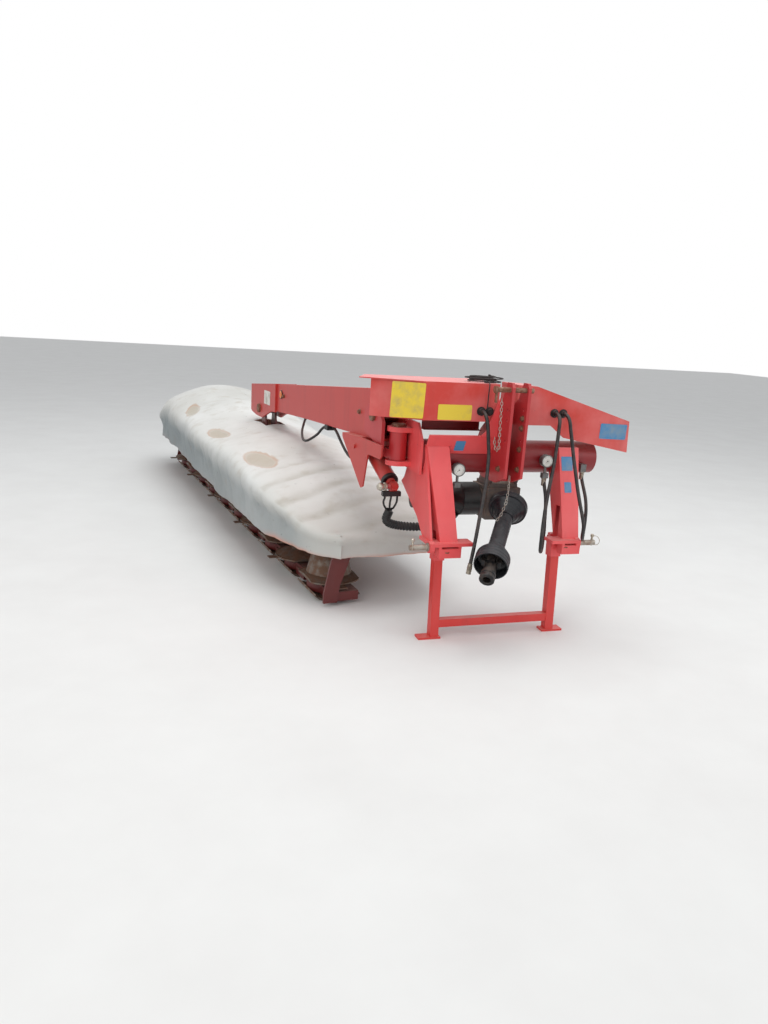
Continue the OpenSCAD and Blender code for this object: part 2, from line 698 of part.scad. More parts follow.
// Knuckle: a sleeve on the swing pin with two cheeks for the lift pin
module knuckle() {
    left = [
        [-50, 705], [-28, 680], [10, 680], [64, 752], [236, 850], [236, 1084], [198, 1112],
        [70, 1112], [16, 1040], [16, 836], [-50, 762],
    ];
    right = [[70, 846], [236, 860], [236, 1084], [198, 1112], [110, 1112], [70, 1040]];
    color("firebrick") at_swing() difference() {
        union() {
            translate([0, 0, sleeve_z0]) cylinder(r = sleeve_r, h = sleeve_z1 - sleeve_z0);
            plate_side(cheek_w, cheek_t, left);
            plate_side(-cheek_w - cheek_t, cheek_t, right);
            translate([0, -sleeve_r, block_z]) cube([block_at[1], 2 * sleeve_r, block_h]);
            translate([block_at[0], -cheek_w - eps, block_z])
                cube([block_at[1] - block_at[0], 2 * cheek_w + 2 * eps, block_h]);
            pin_across(cyl_foot, eye_pin_d, cyl_side - eye_w / 2 - 10, cheek_w + eps);
        }
        translate([0, 0, ear_z[0]]) cylinder(d = swing_pin_d + 2 * pin_gap, h = ear_z[1] - ear_z[0]);
        pin_across(lift_at, lift_pin_d + 2 * pin_gap, -cheek_w - 2 * cheek_t, cheek_w + 2 * cheek_t);
    }
}

module lift_pin() {
    color("silver") at_swing() {
        pin_across(lift_at, lift_pin_d, -cheek_w - cheek_t - 8, cheek_w + cheek_t + seat);
        pin_across(lift_at, lift_pin_d + 18, cheek_w + cheek_t + seat, cheek_w + cheek_t + 12);
    }
}

// Cylinder along its own axis from the eye on the knuckle
module along_cylinder() {
    at_swing() translate([cyl_foot[0], cyl_side, cyl_foot[1]]) rotate([0, 90 - cyl_rise, 0]) children();
}
module cylinder_barrel() {
    color("firebrick") along_cylinder() difference() {
        union() {
            rotate([90, 0, 0]) translate([0, 0, -eye_w / 2]) cylinder(d = eye_d, h = eye_w);
            translate([0, 0, 20]) cylinder(d = 50, h = 30);
            translate([0, 0, 44]) cylinder(d = cylinder_d, h = barrel_len - 44);
        }
        rotate([90, 0, 0]) translate([0, 0, -eye_w]) cylinder(d = eye_pin_d + 2 * pin_gap, h = 2 * eye_w);
        translate([0, 0, 110]) cylinder(d = rod_d + 2 * pin_gap, h = barrel_len);
    }
}
module cylinder_rod() {
    color("silver") along_cylinder() difference() {
        union() {
            translate([0, 0, 150]) cylinder(d = rod_d, h = cyl_len - 170);
            translate([0, 0, cyl_len]) rotate([90, 0, 0]) translate([0, 0, -eye_w / 2]) cylinder(d = eye_d, h = eye_w);
        }
        translate([0, 0, cyl_len]) rotate([90, 0, 0]) translate([0, 0, -eye_w])
            cylinder(d = eye_pin_d + 2 * eye_slack, h = 2 * eye_w);
    }
}

// Arm: a tapered box section from the lift pin to the end bracket
module arm_beam() {
    outer = [
        [arm_root, 934], [arm_root, 1160], [arm_root + 40, 1198], [170, 1195], [arm_joint, 1050],
        [arm_joint, 858], [1250, 891],
    ];
    inner = [
        [arm_root - eps, 946], [arm_root - eps, 1150], [180, 1182], [arm_joint - 20, 1038],
        [arm_joint - 20, 870], [1250, 903],
    ];
    color("firebrick") at_swing() difference() {
        plate_side(-arm_w / 2, arm_w, outer);
        plate_side(-arm_w / 2 + arm_wall, arm_w - 2 * arm_wall, inner);
        pin_across(lift_at, lift_pin_d + 2 * pin_gap, -arm_w, arm_w);
    }
}

// Bracket under the arm for the lift cylinder's rod
module arm_bracket() {
    shape = [[112, 905], [126, 852], [168, 676], [196, 664], [478, 892], [484, 905]];
    band = [[bracket_shelf, 930], [-40, 930], [-40, 872], [-26, 858], [120, 858]];
    inner = bracket_w[0] - bracket_plate;
    outer = bracket_w[1];
    color("firebrick") at_swing() {
        plate_side(inner, bracket_plate, concat(shape, [[484, arm_bottom(484)], [112, arm_bottom(112)]]));
        plate_side(outer, bracket_plate, concat(band, [for (i = [1:5]) shape[i]]));
        plate_side(inner, outer + bracket_plate - inner, [
            [bracket_shelf, 904], [484, 904], [484, arm_bottom(484)], [bracket_shelf, arm_bottom(bracket_shelf)],
        ]);
        pin_across(cyl_head, eye_pin_d, inner - 8, outer + bracket_plate + 10);
    }
}

// End of the arm: two plates that straddle the unit's tower
module arm_end() {
    plate = [
        [arm_joint - 30, 1056], [arm_tip, 998], [arm_tip, 800], [arm_tip - 40, 786], [reach, 772],
        [reach - 150, 772], [reach - 230, 800], [arm_joint + 70, 846], [arm_joint - 30, 852],
    ];
    color("firebrick") at_swing() {
        difference() {
            union() {
                plate_side(-arm_w / 2 - end_plate - seat, end_plate, plate);
                plate_side(arm_w / 2 + seat, end_plate, plate);
                plate_side(-arm_w / 2 - end_plate, arm_w + 2 * end_plate, [
                    [arm_joint + seat, 1040], [arm_tip - 2, 986], [arm_tip - 2, 998], [arm_joint + seat, 1053],
                ]);
                translate([arm_tip - 14, -arm_w / 2 - end_plate, 800]) cube([12, arm_w + 2 * end_plate, 190]);
            }
            pin_across([reach + float_u, float_z], float_pin_d + 2 * pin_gap, -arm_w, arm_w);
        }
    }
}

module float_pin() {
    side = arm_w / 2 + end_plate + seat;
    color("silver") at_unit() {
        pin_across([float_u, float_z], float_pin_d, -side - 6, side + seat);
        pin_across([float_u, float_z], float_pin_d + 20, side + seat, side + 14);
    }
}

// Cutter bar: a flat trough with a rounded front edge and a raised seat under each disc
module cutter_bar() {
    color("dimgray") at_unit() {
        translate([-bar_half, disc_line - bar_w / 2 + 40, bar_z]) cube([2 * bar_half, bar_w - 80, bar_t]);
        for (i = [0:discs - 1]) translate([disc_first + i * disc_pitch, disc_line, bar_z]) {
            cylinder(r = bar_w / 2, h = bar_t - 8);
            cylinder(r = 62, h = disc_z - bar_z - 4);
            cylinder(d = spindle_d, h = disc_z - bar_z + spindle_h);
        }
        for (i = [0:discs - 2]) translate([disc_first + (i + 0.5) * disc_pitch - 70, disc_line + bar_w / 2 - 60, bar_z])
            cube([140, 36, bar_t - 14]);
    }
}

module skids() {
    profile = [
        [-bar_w / 2 - 10, bar_z - seat], [-bar_w / 2 - 10, bar_z - skid_t], [-bar_w / 2 + 40, 0], [90, 0],
        [bar_w / 2 - 16, 8], [bar_w / 2 + 12, 30], [bar_w / 2 + 6, 40], [bar_w / 2 + 1, bar_z - seat],
        [bar_w / 2 - 26, 16], [80, skid_t],
        [-bar_w / 2 + 44, skid_t], [-bar_w / 2 + 4, bar_z - seat],
    ];
    color("dimgray") at_unit() for (i = [0:discs - 1])
        translate([disc_first + i * disc_pitch - skid_w / 2, disc_line, 0]) {
            rotate([90, 0, 90]) linear_extrude(skid_w) polygon(profile);
            translate([20, -40, skid_t - eps]) cube([skid_w - 40, 60, bar_z - seat - skid_t + eps]);
        }
}

// Gearbox over the first disc, on the bridge plate, its input facing the headstock
module bar_gearbox() {
    color("dimgray") at_unit() translate([disc_first, disc_line - 60, bridge_z + bridge_t + seat]) {
        translate([-85, -75, 0]) cube([170, 150, 66]);
        translate([-60, -55, 65]) cube([120, 110, 16]);
        translate([-84, 0, 36]) rotate([0, -90, 0]) cylinder(d = 62, h = 70);
    }
}

// Carrier beam with its tower for the float pin, and a plate down to each end of the bar
module carrier_beam() {
    top = beam_z + beam;
    rear = beam_side - beam / 2;
    tower = [[-200, top - eps], [-118, 800], [-112, 860], [-80, 884], [-48, 860], [-42, 800], [40, top - eps]];
    toe = disc_line + bar_w / 2;
    end_plate_shape = [
        [rear, top], [rear + beam, top], [-90, bridge_z + bridge_t], [240, bridge_z + bridge_t], [262, 250],
        [toe, bar_top], [toe, 24], [toe - 80, 24], [toe - 92, 120], [150, bridge_z - 50], [-90, beam_z], [rear, beam_z],
    ];
    color("firebrick") at_unit() difference() {
        union() {
            difference() {
                translate([-end_arm_u, rear, beam_z]) cube([2 * end_arm_u, beam, beam]);
                translate([-end_arm_u - eps, rear + beam_wall, beam_z + beam_wall])
                    cube([2 * end_arm_u + 2 * eps, beam - 2 * beam_wall, beam - 2 * beam_wall]);
            }
            for (u = [-end_arm_u - end_arm_t, end_arm_u])
                translate([u, 0, 0]) rotate([90, 0, 90]) linear_extrude(end_arm_t) polygon(end_plate_shape);
            translate([-end_arm_u - eps, rear + beam - eps, bridge_z])
                cube([bridge_len, 240 - rear - beam, bridge_t]);
            for (side = [-tower_w / 2, tower_w / 2 - tower_t]) plate_side(side, tower_t, tower);
            pin_across([float_u, float_z], float_pin_d + 30, -tower_w / 2, tower_w / 2);
            translate([-200, rear + beam - eps, beam_z + 10]) cube([240, tower_w / 2 - rear - beam + eps, beam - 10]);
        }
        pin_across([float_u, float_z], float_pin_d + 2 * pin_gap, -arm_w, arm_w);
    }
}

// Hoops that hold the cover up, joined by rails under its ridges
module guard_frame() {
    under = cover_t + hoop_gap;
    color("firebrick") at_unit() {
        for (u = hoop_us) translate([u - hoop_t / 2, 0, 0]) rotate([90, 0, 90]) linear_extrude(hoop_t) difference() {
            polygon(cover_profile(u, under, ridge_at(u) - 110));
            polygon(cover_profile(u, under + hoop_w, 200));
        }
        for (u = hoop_us) translate([u - hoop_t / 2, beam_side - 20, beam_z + beam + seat])
            cube([hoop_t, 40, ridge_at(u) + cover_crown - beam_z - beam - 52]);
        for (side = [front_at(0) - 46, rear_at(0) + 46]) translate([hoop_us[0], side, cover_ridge - 70])
            rotate([0, 90, 0]) cylinder(d = rail_d, h = hoop_us[len(hoop_us) - 1] - hoop_us[0]);
    }
}

// Cover: one sheet over the guard frame, with skirts down to the hem
module cover_block(inset, foot) {
    rings = [for (u = cover_us) [for (p = cover_profile(u, inset, foot)) [u - (abs(u) == cover_half ? sign(u) * inset : 0), p[0], p[1]]]];
    n = len(rings[0]);
    m = len(rings);
    sides = [for (i = [0:m - 2], k = [0:n - 1]) let (
        a = i * n + k, b = i * n + (k + 1) % n
    ) each [[a, b + n, b], [a, a + n, b + n]]];
    ends = [[for (k = [0:n - 1]) k], [for (k = [n - 1:-1:0]) (m - 1) * n + k]];
    polyhedron([for (r = rings) each r], concat(sides, ends), convexity = 6);
}
module cover() {
    color("gainsboro") at_unit() difference() {
        cover_block(0, cover_hem);
        cover_block(cover_t, cover_hem - eps);
        translate([-250, -tower_w / 2 - 30, 600]) cube([330, tower_w + 60, 300]);
    }
}

// Disc with two knives, and a drum on the two end discs
module disc(i) {
    spin = (i % 2 == 0) ? 0 : 90;
    color("dimgray") at_unit() translate([disc_first + i * disc_pitch, disc_line, disc_z]) rotate([0, 0, spin]) {
        difference() {
            union() {
                intersection() {
                    union() {
                        cylinder(r = disc_r, h = 8);
                        translate([0, 0, 7]) cylinder(r1 = disc_r - 8, r2 = 84, h = 34);
                    }
                    translate([-disc_r, -disc_w / 2, -eps]) cube([2 * disc_r, disc_w, 60]);
                }
                translate([0, 0, 40]) cylinder(r1 = 84, r2 = 66, h = 16);
                if (i == 0 || i == discs - 1) translate([0, 0, 30]) cylinder(r1 = 130, r2 = 84, h = 190);
            }
            translate([0, 0, -eps]) cylinder(r = 50, h = 20);
            cylinder(d = spindle_d + 2 * pin_gap, h = spindle_h + 4);
        }
        for (side = [-1, 1]) scale_side(side) translate([disc_r - 40, -knife_w / 2, -knife_t + eps / 2])
            cube([knife_r - disc_r + 40, knife_w, knife_t]);
    }
}

placed() cross_tube();
placed() pivot_ears();
placed() swing_pin();
placed() mast();
placed() top_link_pin();
placed() leg_left();
placed() leg_right();
placed() hitch_pins();
placed() tube_saddle();
placed() hood();
placed() hose_guard();
placed() grommets();
placed() hydraulic_ports();
placed() input_gearbox();
placed() transmission_guard();
placed() pto_guard();
placed() pto_shaft();
placed() hose_left();
placed() hose_coupler();
placed() hose_middle();
placed() hose_right();
placed() control_rope();
placed() rope_heap();
placed() stand();
placed() knuckle();
placed() lift_pin();
placed() cylinder_barrel();
placed() cylinder_rod();
placed() arm_beam();
placed() arm_bracket();
placed() arm_end();
placed() float_pin();
placed() cutter_bar();
placed() skids();
placed() bar_gearbox();
placed() carrier_beam();
placed() guard_frame();
placed() cover();
for (i = [1:discs]) placed() disc(i - 1);
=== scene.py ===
# %% [markdown]
# # A mounted disc mower, parked with its arm to the rear
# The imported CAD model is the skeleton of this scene: every frame, tube, pin and disc comes from it
# and stays where it is. This script gives the steel its weathered paint, makes the tarpaulin and the
# hoses as the limp things that they are, and adds the small fittings of a working machine. Each step
# says what the piece is on the real mower, how it could be made, and why this way was chosen.

# %% Load the frame
import json
import math

import bpy
import numpy as np
from mathutils import Matrix, Quaternion, Vector, noise
from mathutils.bvhtree import BVHTree
from mathutils.geometry import interpolate_bezier

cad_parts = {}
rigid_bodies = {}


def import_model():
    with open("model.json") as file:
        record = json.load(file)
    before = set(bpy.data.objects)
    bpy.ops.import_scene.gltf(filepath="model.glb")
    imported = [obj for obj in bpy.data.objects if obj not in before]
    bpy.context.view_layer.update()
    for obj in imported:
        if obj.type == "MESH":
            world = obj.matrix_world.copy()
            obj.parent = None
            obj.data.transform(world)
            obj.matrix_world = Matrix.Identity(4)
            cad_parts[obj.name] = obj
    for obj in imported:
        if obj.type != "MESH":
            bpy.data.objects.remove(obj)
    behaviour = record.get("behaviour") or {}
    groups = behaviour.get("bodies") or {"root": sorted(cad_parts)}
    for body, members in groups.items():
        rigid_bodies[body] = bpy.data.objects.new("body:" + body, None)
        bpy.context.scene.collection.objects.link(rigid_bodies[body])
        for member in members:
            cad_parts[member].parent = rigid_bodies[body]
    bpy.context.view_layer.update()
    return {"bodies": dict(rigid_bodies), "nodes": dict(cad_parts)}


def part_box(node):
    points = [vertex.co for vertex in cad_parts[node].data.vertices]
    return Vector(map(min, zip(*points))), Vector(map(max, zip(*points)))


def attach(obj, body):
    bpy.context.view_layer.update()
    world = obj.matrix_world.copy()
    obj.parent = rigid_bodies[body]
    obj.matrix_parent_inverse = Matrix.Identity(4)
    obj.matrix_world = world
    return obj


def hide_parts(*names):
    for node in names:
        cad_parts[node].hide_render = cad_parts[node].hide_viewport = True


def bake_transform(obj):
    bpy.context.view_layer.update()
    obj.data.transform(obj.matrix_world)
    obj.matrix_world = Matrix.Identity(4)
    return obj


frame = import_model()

bodies, nodes = frame["bodies"], frame["nodes"]

# %% [markdown]
# ## Places on the machine
# The model's origin is the middle of the lower hitch, 0.49 m above the ground. Heights are easier to
# read from the ground up, so one function takes the difference away. The arm swings
# about an upright pin and is parked 7.5 degrees off the fore and aft line: a second function turns
# a place along the arm (s), to its left side (side) and above the ground (z) into the model's frame.

# %% Places
FLOOR = -0.49
SWING = (-0.475, 0.370)
PARKED = math.radians(97.5)
REACH = 2.330


def ground(x, y, z):
    return Vector((x, y, z + FLOOR))


def on_arm(s, side, z):
    c, n = math.cos(PARKED), math.sin(PARKED)
    return Vector((SWING[0] + s * c - side * n, SWING[1] + s * n + side * c, z + FLOOR))


ARM_AXIS = on_arm(1, 0, 0) - on_arm(0, 0, 0)
ARM_LEFT = on_arm(0, 1, 0) - on_arm(0, 0, 0)
print("the arm points along", [round(v, 3) for v in ARM_AXIS])

# %% [markdown]
# ## Camera
# The photograph was taken from in front of the headstock and to its left, at eye height. The
# camera's three axes were solved from the hitch pins, the stand's feet and the upright edges, so
# they are written as a matrix instead of two angles. The lens comes out at 27 mm on a 36 mm frame.

# %% Camera
EYE = ground(-1.745, -3.32, 1.53)
AXIS_RIGHT = Vector((0.9521, -0.2987, 0.0625))
AXIS_DOWN = Vector((-0.0137, -0.2469, -0.969))
AXIS_FORWARD = Vector((0.3043, 0.9217, -0.239))

SENSOR_MM, LENS_MM, FAR_CLIP = 36, 27.035, 200

camera_data = bpy.data.cameras.new("camera")
camera_data.sensor_width = SENSOR_MM
camera_data.lens = LENS_MM
camera_data.clip_end = FAR_CLIP
camera = bpy.data.objects.new("camera", camera_data)
bpy.context.scene.collection.objects.link(camera)
turn = Matrix((AXIS_RIGHT, -AXIS_DOWN, -AXIS_FORWARD)).transposed()
camera.matrix_world = Matrix.Translation(EYE) @ turn.to_quaternion().to_matrix().to_4x4()
bpy.context.scene.camera = camera
bpy.context.scene.view_settings.view_transform = "Standard"
print("camera at", [round(v, 3) for v in EYE])

# %% [markdown]
# ## Tools for pieces
# Small helpers keep the later cells short. A piece is shaped about the origin, where its sizes are
# easy to read, and then its mesh is turned and moved to its place, so that the object itself stays
# at the origin as the CAD nodes do.

# %% Tools for pieces
def deselect():
    if bpy.context.object and bpy.context.object.mode != "OBJECT":
        bpy.ops.object.mode_set(mode="OBJECT")
    bpy.ops.object.select_all(action="DESELECT")


def only(piece):
    """Selects this piece alone and makes it the active one."""
    deselect()
    piece.select_set(True)
    bpy.context.view_layer.objects.active = piece


def named(name):
    piece = bpy.context.object
    piece.name = piece.data.name = name
    return piece


def pick(piece, test, kind="FACE"):
    """Opens the piece in edit mode with only the faces, or vertices, that pass the test selected."""
    only(piece)
    bpy.context.tool_settings.mesh_select_mode = (kind == "VERT", False, kind == "FACE")
    mesh = piece.data
    mesh.polygons.foreach_set("select", [False] * len(mesh.polygons))
    mesh.edges.foreach_set("select", [False] * len(mesh.edges))
    mesh.vertices.foreach_set("select", [False] * len(mesh.vertices))
    if kind == "FACE":
        mesh.polygons.foreach_set("select", [bool(test(f)) for f in mesh.polygons])
    else:
        mesh.vertices.foreach_set("select", [bool(test(v)) for v in mesh.vertices])
    bpy.ops.object.mode_set(mode="EDIT")


def close_edit(recalc=True):
    if recalc:
        bpy.ops.mesh.select_all(action="SELECT")
        bpy.ops.mesh.normals_make_consistent(inside=False)
    bpy.ops.object.mode_set(mode="OBJECT")


def finish_with(piece, kind, **values):
    """Adds a modifier, sets its values and applies it."""
    only(piece)
    modifier = piece.modifiers.new(kind.lower(), kind)
    for key, value in values.items():
        setattr(modifier, key, value)
    bpy.ops.object.modifier_apply(modifier=modifier.name)
    return piece


def smooth(piece, degrees=35):
    only(piece)
    bpy.ops.object.shade_smooth_by_angle(angle=math.radians(degrees))
    return piece


def place(piece, at, along=(0, 0, 1), roll=0.0):
    """Turns the piece's own Z to a direction and moves it, in its mesh."""
    aim = Vector(along).normalized().to_track_quat("Z", "Y") @ Quaternion((0, 0, 1), roll)
    piece.data.transform(Matrix.Translation(Vector(at)) @ aim.to_matrix().to_4x4())
    return piece


def twin(piece, name):
    """A copy of a piece with its own mesh."""
    other = piece.copy()
    other.data = piece.data.copy()
    other.name = other.data.name = name
    bpy.context.scene.collection.objects.link(other)
    return other


def join(name, pieces):
    deselect()
    for piece in pieces:
        piece.select_set(True)
    bpy.context.view_layer.objects.active = pieces[0]
    bpy.ops.object.join()
    return named(name)


def keep(piece, body, slot, *materials):
    """Gives a finished piece its materials and its body. The slot is not used."""
    if materials:
        piece.data.materials.clear()
        for material in materials:
            piece.data.materials.append(material)
    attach(piece, body)
    return piece


def turned(name, profile, sides=32):
    """A round piece from a list of (radius, height), as on a lathe: a disc is extruded and scaled."""
    deselect()
    radius, height = profile[0]
    bpy.ops.mesh.primitive_circle_add(vertices=sides, radius=radius, fill_type="NGON",
                                      location=(0, 0, height))
    piece = named(name)
    pick(piece, lambda f: True)
    bpy.ops.object.mode_set(mode="OBJECT")
    piece.data.transform(Matrix.Translation((0, 0, height)))
    piece.location = (0, 0, 0)
    bpy.ops.object.mode_set(mode="EDIT")
    for r, z in profile[1:]:
        bpy.ops.mesh.extrude_region_move(TRANSFORM_OT_translate={"value": (0, 0, z - height)})
        if abs(r - radius) > 1e-7:
            bpy.ops.transform.resize(value=(r / radius, r / radius, 1))
        radius, height = r, z
    close_edit()
    return piece


def block(name, size, bevel=0.0015, segments=2):
    """A box with rounded edges, centred on the origin."""
    deselect()
    bpy.ops.mesh.primitive_cube_add(size=1)
    piece = named(name)
    piece.data.transform(Matrix.Diagonal((*size, 1)))
    if bevel:
        finish_with(piece, "BEVEL", width=bevel, segments=segments, limit_method="ANGLE")
    return piece


print("tools ready")

# %% [markdown]
# ## Colour groups
# Weather acts on every painted and bare part in the same few ways: the sun bleaches what faces up,
# dust settles there too, and rust starts in specks. Each effect is one node group, built once, that
# puts out a colour or a mask. The shaders stay in the materials, which give the groups their values.

# %% Group helpers
def new_group(name, inputs, outputs):
    """A node group with named sockets: inputs are (name, kind, value), outputs (name, kind)."""
    group = bpy.data.node_groups.new(name, "ShaderNodeTree")
    kinds = {"value": "NodeSocketFloat", "colour": "NodeSocketColor", "vector": "NodeSocketVector"}
    for label, kind, value in inputs:
        socket = group.interface.new_socket(name=label, in_out="INPUT", socket_type=kinds[kind])
        if value is not None:
            socket.default_value = value
    for label, kind in outputs:
        group.interface.new_socket(name=label, in_out="OUTPUT", socket_type=kinds[kind])
    return group, group.nodes.new("NodeGroupInput"), group.nodes.new("NodeGroupOutput")


def node(tree, kind, **settings):
    """Adds a node. A setting that is a socket links it, any other value is set on the input or node."""
    made_node = tree.nodes.new("ShaderNode" + kind)
    for key, value in settings.items():
        if hasattr(type(made_node), key) or key in made_node.bl_rna.properties:
            setattr(made_node, key, value)
            continue
        numbered = key[0] == "i" and key[1:].isdigit()
        socket = made_node.inputs[int(key[1:]) if numbered else key]
        if isinstance(value, bpy.types.NodeSocket):
            tree.links.new(value, socket)
        else:
            socket.default_value = value
    return made_node


def maths(tree, operation, a, b=0.0, clamp=False):
    return node(tree, "Math", operation=operation, use_clamp=clamp, i0=a, i1=b).outputs[0]


def times(tree, a, b, clamp=False):
    return maths(tree, "MULTIPLY", a, b, clamp)


def plus(tree, a, b):
    return maths(tree, "ADD", a, b)


def ramp(tree, value, low, high, to_low=0.0, to_high=1.0):
    """Maps a value from one range to another and clamps it."""
    return node(tree, "MapRange", i0=value, i1=low, i2=high, i3=to_low, i4=to_high).outputs[0]


def tint(tree, amount, a, b):
    mixed = node(tree, "Mix", data_type="RGBA")
    for socket, value in ((mixed.inputs[0], amount), (mixed.inputs[6], a), (mixed.inputs[7], b)):
        if isinstance(value, bpy.types.NodeSocket):
            tree.links.new(value, socket)
        else:
            socket.default_value = value
    return mixed.outputs[2]


def noise_at(tree, vector, scale, detail=3.0, roughness=0.55):
    texture = node(tree, "TexNoise", Vector=vector, Scale=scale, Detail=detail, Roughness=roughness)
    return texture.outputs["Fac"]


def srgb(*rgb):
    """A colour as picked from a picture, 0 to 255, in Blender's linear numbers."""
    linear = [v / 255 for v in rgb]
    return tuple(v / 12.92 if v <= 0.04045 else ((v + 0.055) / 1.055) ** 2.4 for v in linear) + (1.0,)


print("group helpers ready")

# %% [markdown]
# ### Weathered paint
# Red machine paint goes pink and chalky where the sky reaches it and stays deep where it is in
# shade. The group mixes the paint with its bleached colour by how far the surface faces up, breaks
# the border up with noise, adds faint runs down the upright faces, and gives a mask for dust.

# %% Weathering group
weather, w_in, w_out = new_group(
    "weathered_paint",
    [("Paint", "colour", None), ("Bleached", "colour", None), ("Grime", "colour", None),
     ("Bleach", "value", 0.5), ("Dust", "value", 0.3), ("Chips", "value", 0.5)],
    [("Color", "colour"), ("Roughness", "value"), ("Height", "value"), ("Bare", "value")])
place_at = node(weather, "TexCoord").outputs["Object"]
up = node(weather, "SeparateXYZ", i0=node(weather, "NewGeometry").outputs["Normal"]).outputs["Z"]
blotch = noise_at(weather, place_at, 5.0, 4.0)
fine = noise_at(weather, place_at, 130.0, 2.0)
stretch = node(weather, "Mapping", i0=place_at, Scale=(17.0, 17.0, 2.2)).outputs[0]
runs = noise_at(weather, stretch, 1.0, 2.0)
sky = ramp(weather, plus(weather, up, times(weather, blotch, 0.7)), 0.25, 1.25, 0.0, 1.0)
patchy_sun = times(weather, ramp(weather, blotch, .35, .7), 0.25)
bleach = plus(weather, times(weather, sky, 0.75), patchy_sun)
bleach = times(weather, bleach, w_in.outputs["Bleach"], clamp=True)
painted = tint(weather, bleach, w_in.outputs["Paint"], w_in.outputs["Bleached"])
streak = times(weather, ramp(weather, runs, .5, .8), 0.18)
painted = tint(weather, streak, painted, w_in.outputs["Grime"])
specks = ramp(weather, noise_at(weather, place_at, 46.0, 5.0, .7), .655, .70)
patches = ramp(weather, noise_at(weather, place_at, 7.0, 4.0), .50, .62)
bare = times(weather, times(weather, specks, patches), w_in.outputs["Chips"], clamp=True)
painted = tint(weather, bare, painted, srgb(104, 62, 48))
drift = ramp(weather, plus(weather, blotch, times(weather, fine, .35)), .5, .85)
settle = times(weather, ramp(weather, up, .35, .95), drift)
settle = times(weather, settle, w_in.outputs["Dust"], clamp=True)
painted = tint(weather, settle, painted, srgb(168, 158, 146))
weather.links.new(painted, w_out.inputs["Color"])
weather.links.new(ramp(weather, plus(weather, bleach, settle), 0.0, 1.0, .38, .66), w_out.inputs["Roughness"])
weather.links.new(maths(weather, "SUBTRACT", times(weather, fine, .4), bare), w_out.inputs["Height"])
weather.links.new(bare, w_out.inputs["Bare"])
print("weathering group:", len(weather.nodes), "nodes")

# %% [markdown]
# ### Rust, grease and plain grime
# Bare pins and clips carry brown rust in patches, plastic and rubber carry grey dust. One group
# does both: it takes a clean colour and a dirty one, a size of patch, and how far the dirt spreads.

# %% Grime group
grime, g_in, g_out = new_group(
    "patchy_grime",
    [("Clean", "colour", None), ("Dirty", "colour", None), ("Scale", "value", 30.0), ("Spread", "value", 0.5),
     ("Sky", "value", 0.3)],
    [("Color", "colour"), ("Mask", "value"), ("Height", "value")])
place_at = node(grime, "TexCoord").outputs["Object"]
up = node(grime, "SeparateXYZ", i0=node(grime, "NewGeometry").outputs["Normal"]).outputs["Z"]
rough_patch = noise_at(grime, place_at, g_in.outputs["Scale"], 5.0, .62)
fine = noise_at(grime, place_at, 260.0, 2.0)
lifted = plus(grime, rough_patch, times(grime, times(grime, up, g_in.outputs["Sky"]), .4))
lifted = plus(grime, lifted, times(grime, maths(grime, "SUBTRACT", g_in.outputs["Spread"], .5), .6))
mask = ramp(grime, lifted, .40, .66)
mask = times(grime, mask, ramp(grime, fine, .2, .6, .7, 1.0))
grime.links.new(tint(grime, mask, g_in.outputs["Clean"], g_in.outputs["Dirty"]), g_out.inputs["Color"])
grime.links.new(mask, g_out.inputs["Mask"])
grime.links.new(times(grime, plus(grime, fine, rough_patch), .5), g_out.inputs["Height"])
print("grime group:", len(grime.nodes), "nodes")

# %% [markdown]
# ## Finishes
# Seven reds share the paint group: the hood and legs have faded most, the arm is a darker brick red,
# the stand is a clear red, the mast and the cross tube sit in shade and are the deepest, a painted
# shade, and the mowing unit, in shadow under the cover, is a dark brown red that is painted shade.
# Metals and rubbers share the grime group, each with its own clean and dirty colour.

# %% Finishes
def material(name, diffuse):
    made_material = bpy.data.materials.new(name)
    made_material.use_nodes = True
    made_material.diffuse_color = diffuse
    tree = made_material.node_tree
    return made_material, tree, tree.nodes["Principled BSDF"]


def bump(tree, shader, height, distance, strength=0.5):
    lump = node(tree, "Bump", Strength=strength, Distance=distance, Height=height)
    tree.links.new(lump.outputs["Normal"], shader.inputs["Normal"])


def paint(name, colour, bleached, grimy, bleach=0.5, dust=0.3, chips=0.5, coat=0.12):
    made_material, tree, shader = material(name, colour)
    group = tree.nodes.new("ShaderNodeGroup")
    group.node_tree = weather
    for label, value in (("Paint", colour), ("Bleached", bleached), ("Grime", grimy),
                         ("Bleach", bleach), ("Dust", dust), ("Chips", chips)):
        group.inputs[label].default_value = value
    tree.links.new(group.outputs["Color"], shader.inputs["Base Color"])
    tree.links.new(group.outputs["Roughness"], shader.inputs["Roughness"])
    bump(tree, shader, group.outputs["Height"], 0.0012, 0.35)
    shader.inputs["Coat Weight"].default_value = coat
    shader.inputs["Coat Roughness"].default_value = 0.35
    return made_material


def grimed(name, clean, dirty, scale=30.0, spread=0.5, sky=0.3, metal=0.0, rough=(0.35, 0.75), height=0.0006):
    made_material, tree, shader = material(name, clean)
    group = tree.nodes.new("ShaderNodeGroup")
    group.node_tree = grime
    for label, value in (("Clean", clean), ("Dirty", dirty), ("Scale", scale),
                         ("Spread", spread), ("Sky", sky)):
        group.inputs[label].default_value = value
    tree.links.new(group.outputs["Color"], shader.inputs["Base Color"])
    tree.links.new(ramp(tree, group.outputs["Mask"], 0, 1, *rough), shader.inputs["Roughness"])
    if metal:
        tree.links.new(ramp(tree, group.outputs["Mask"], 0, 1, metal, 0.05), shader.inputs["Metallic"])
    bump(tree, shader, group.outputs["Height"], height, 0.5)
    return made_material


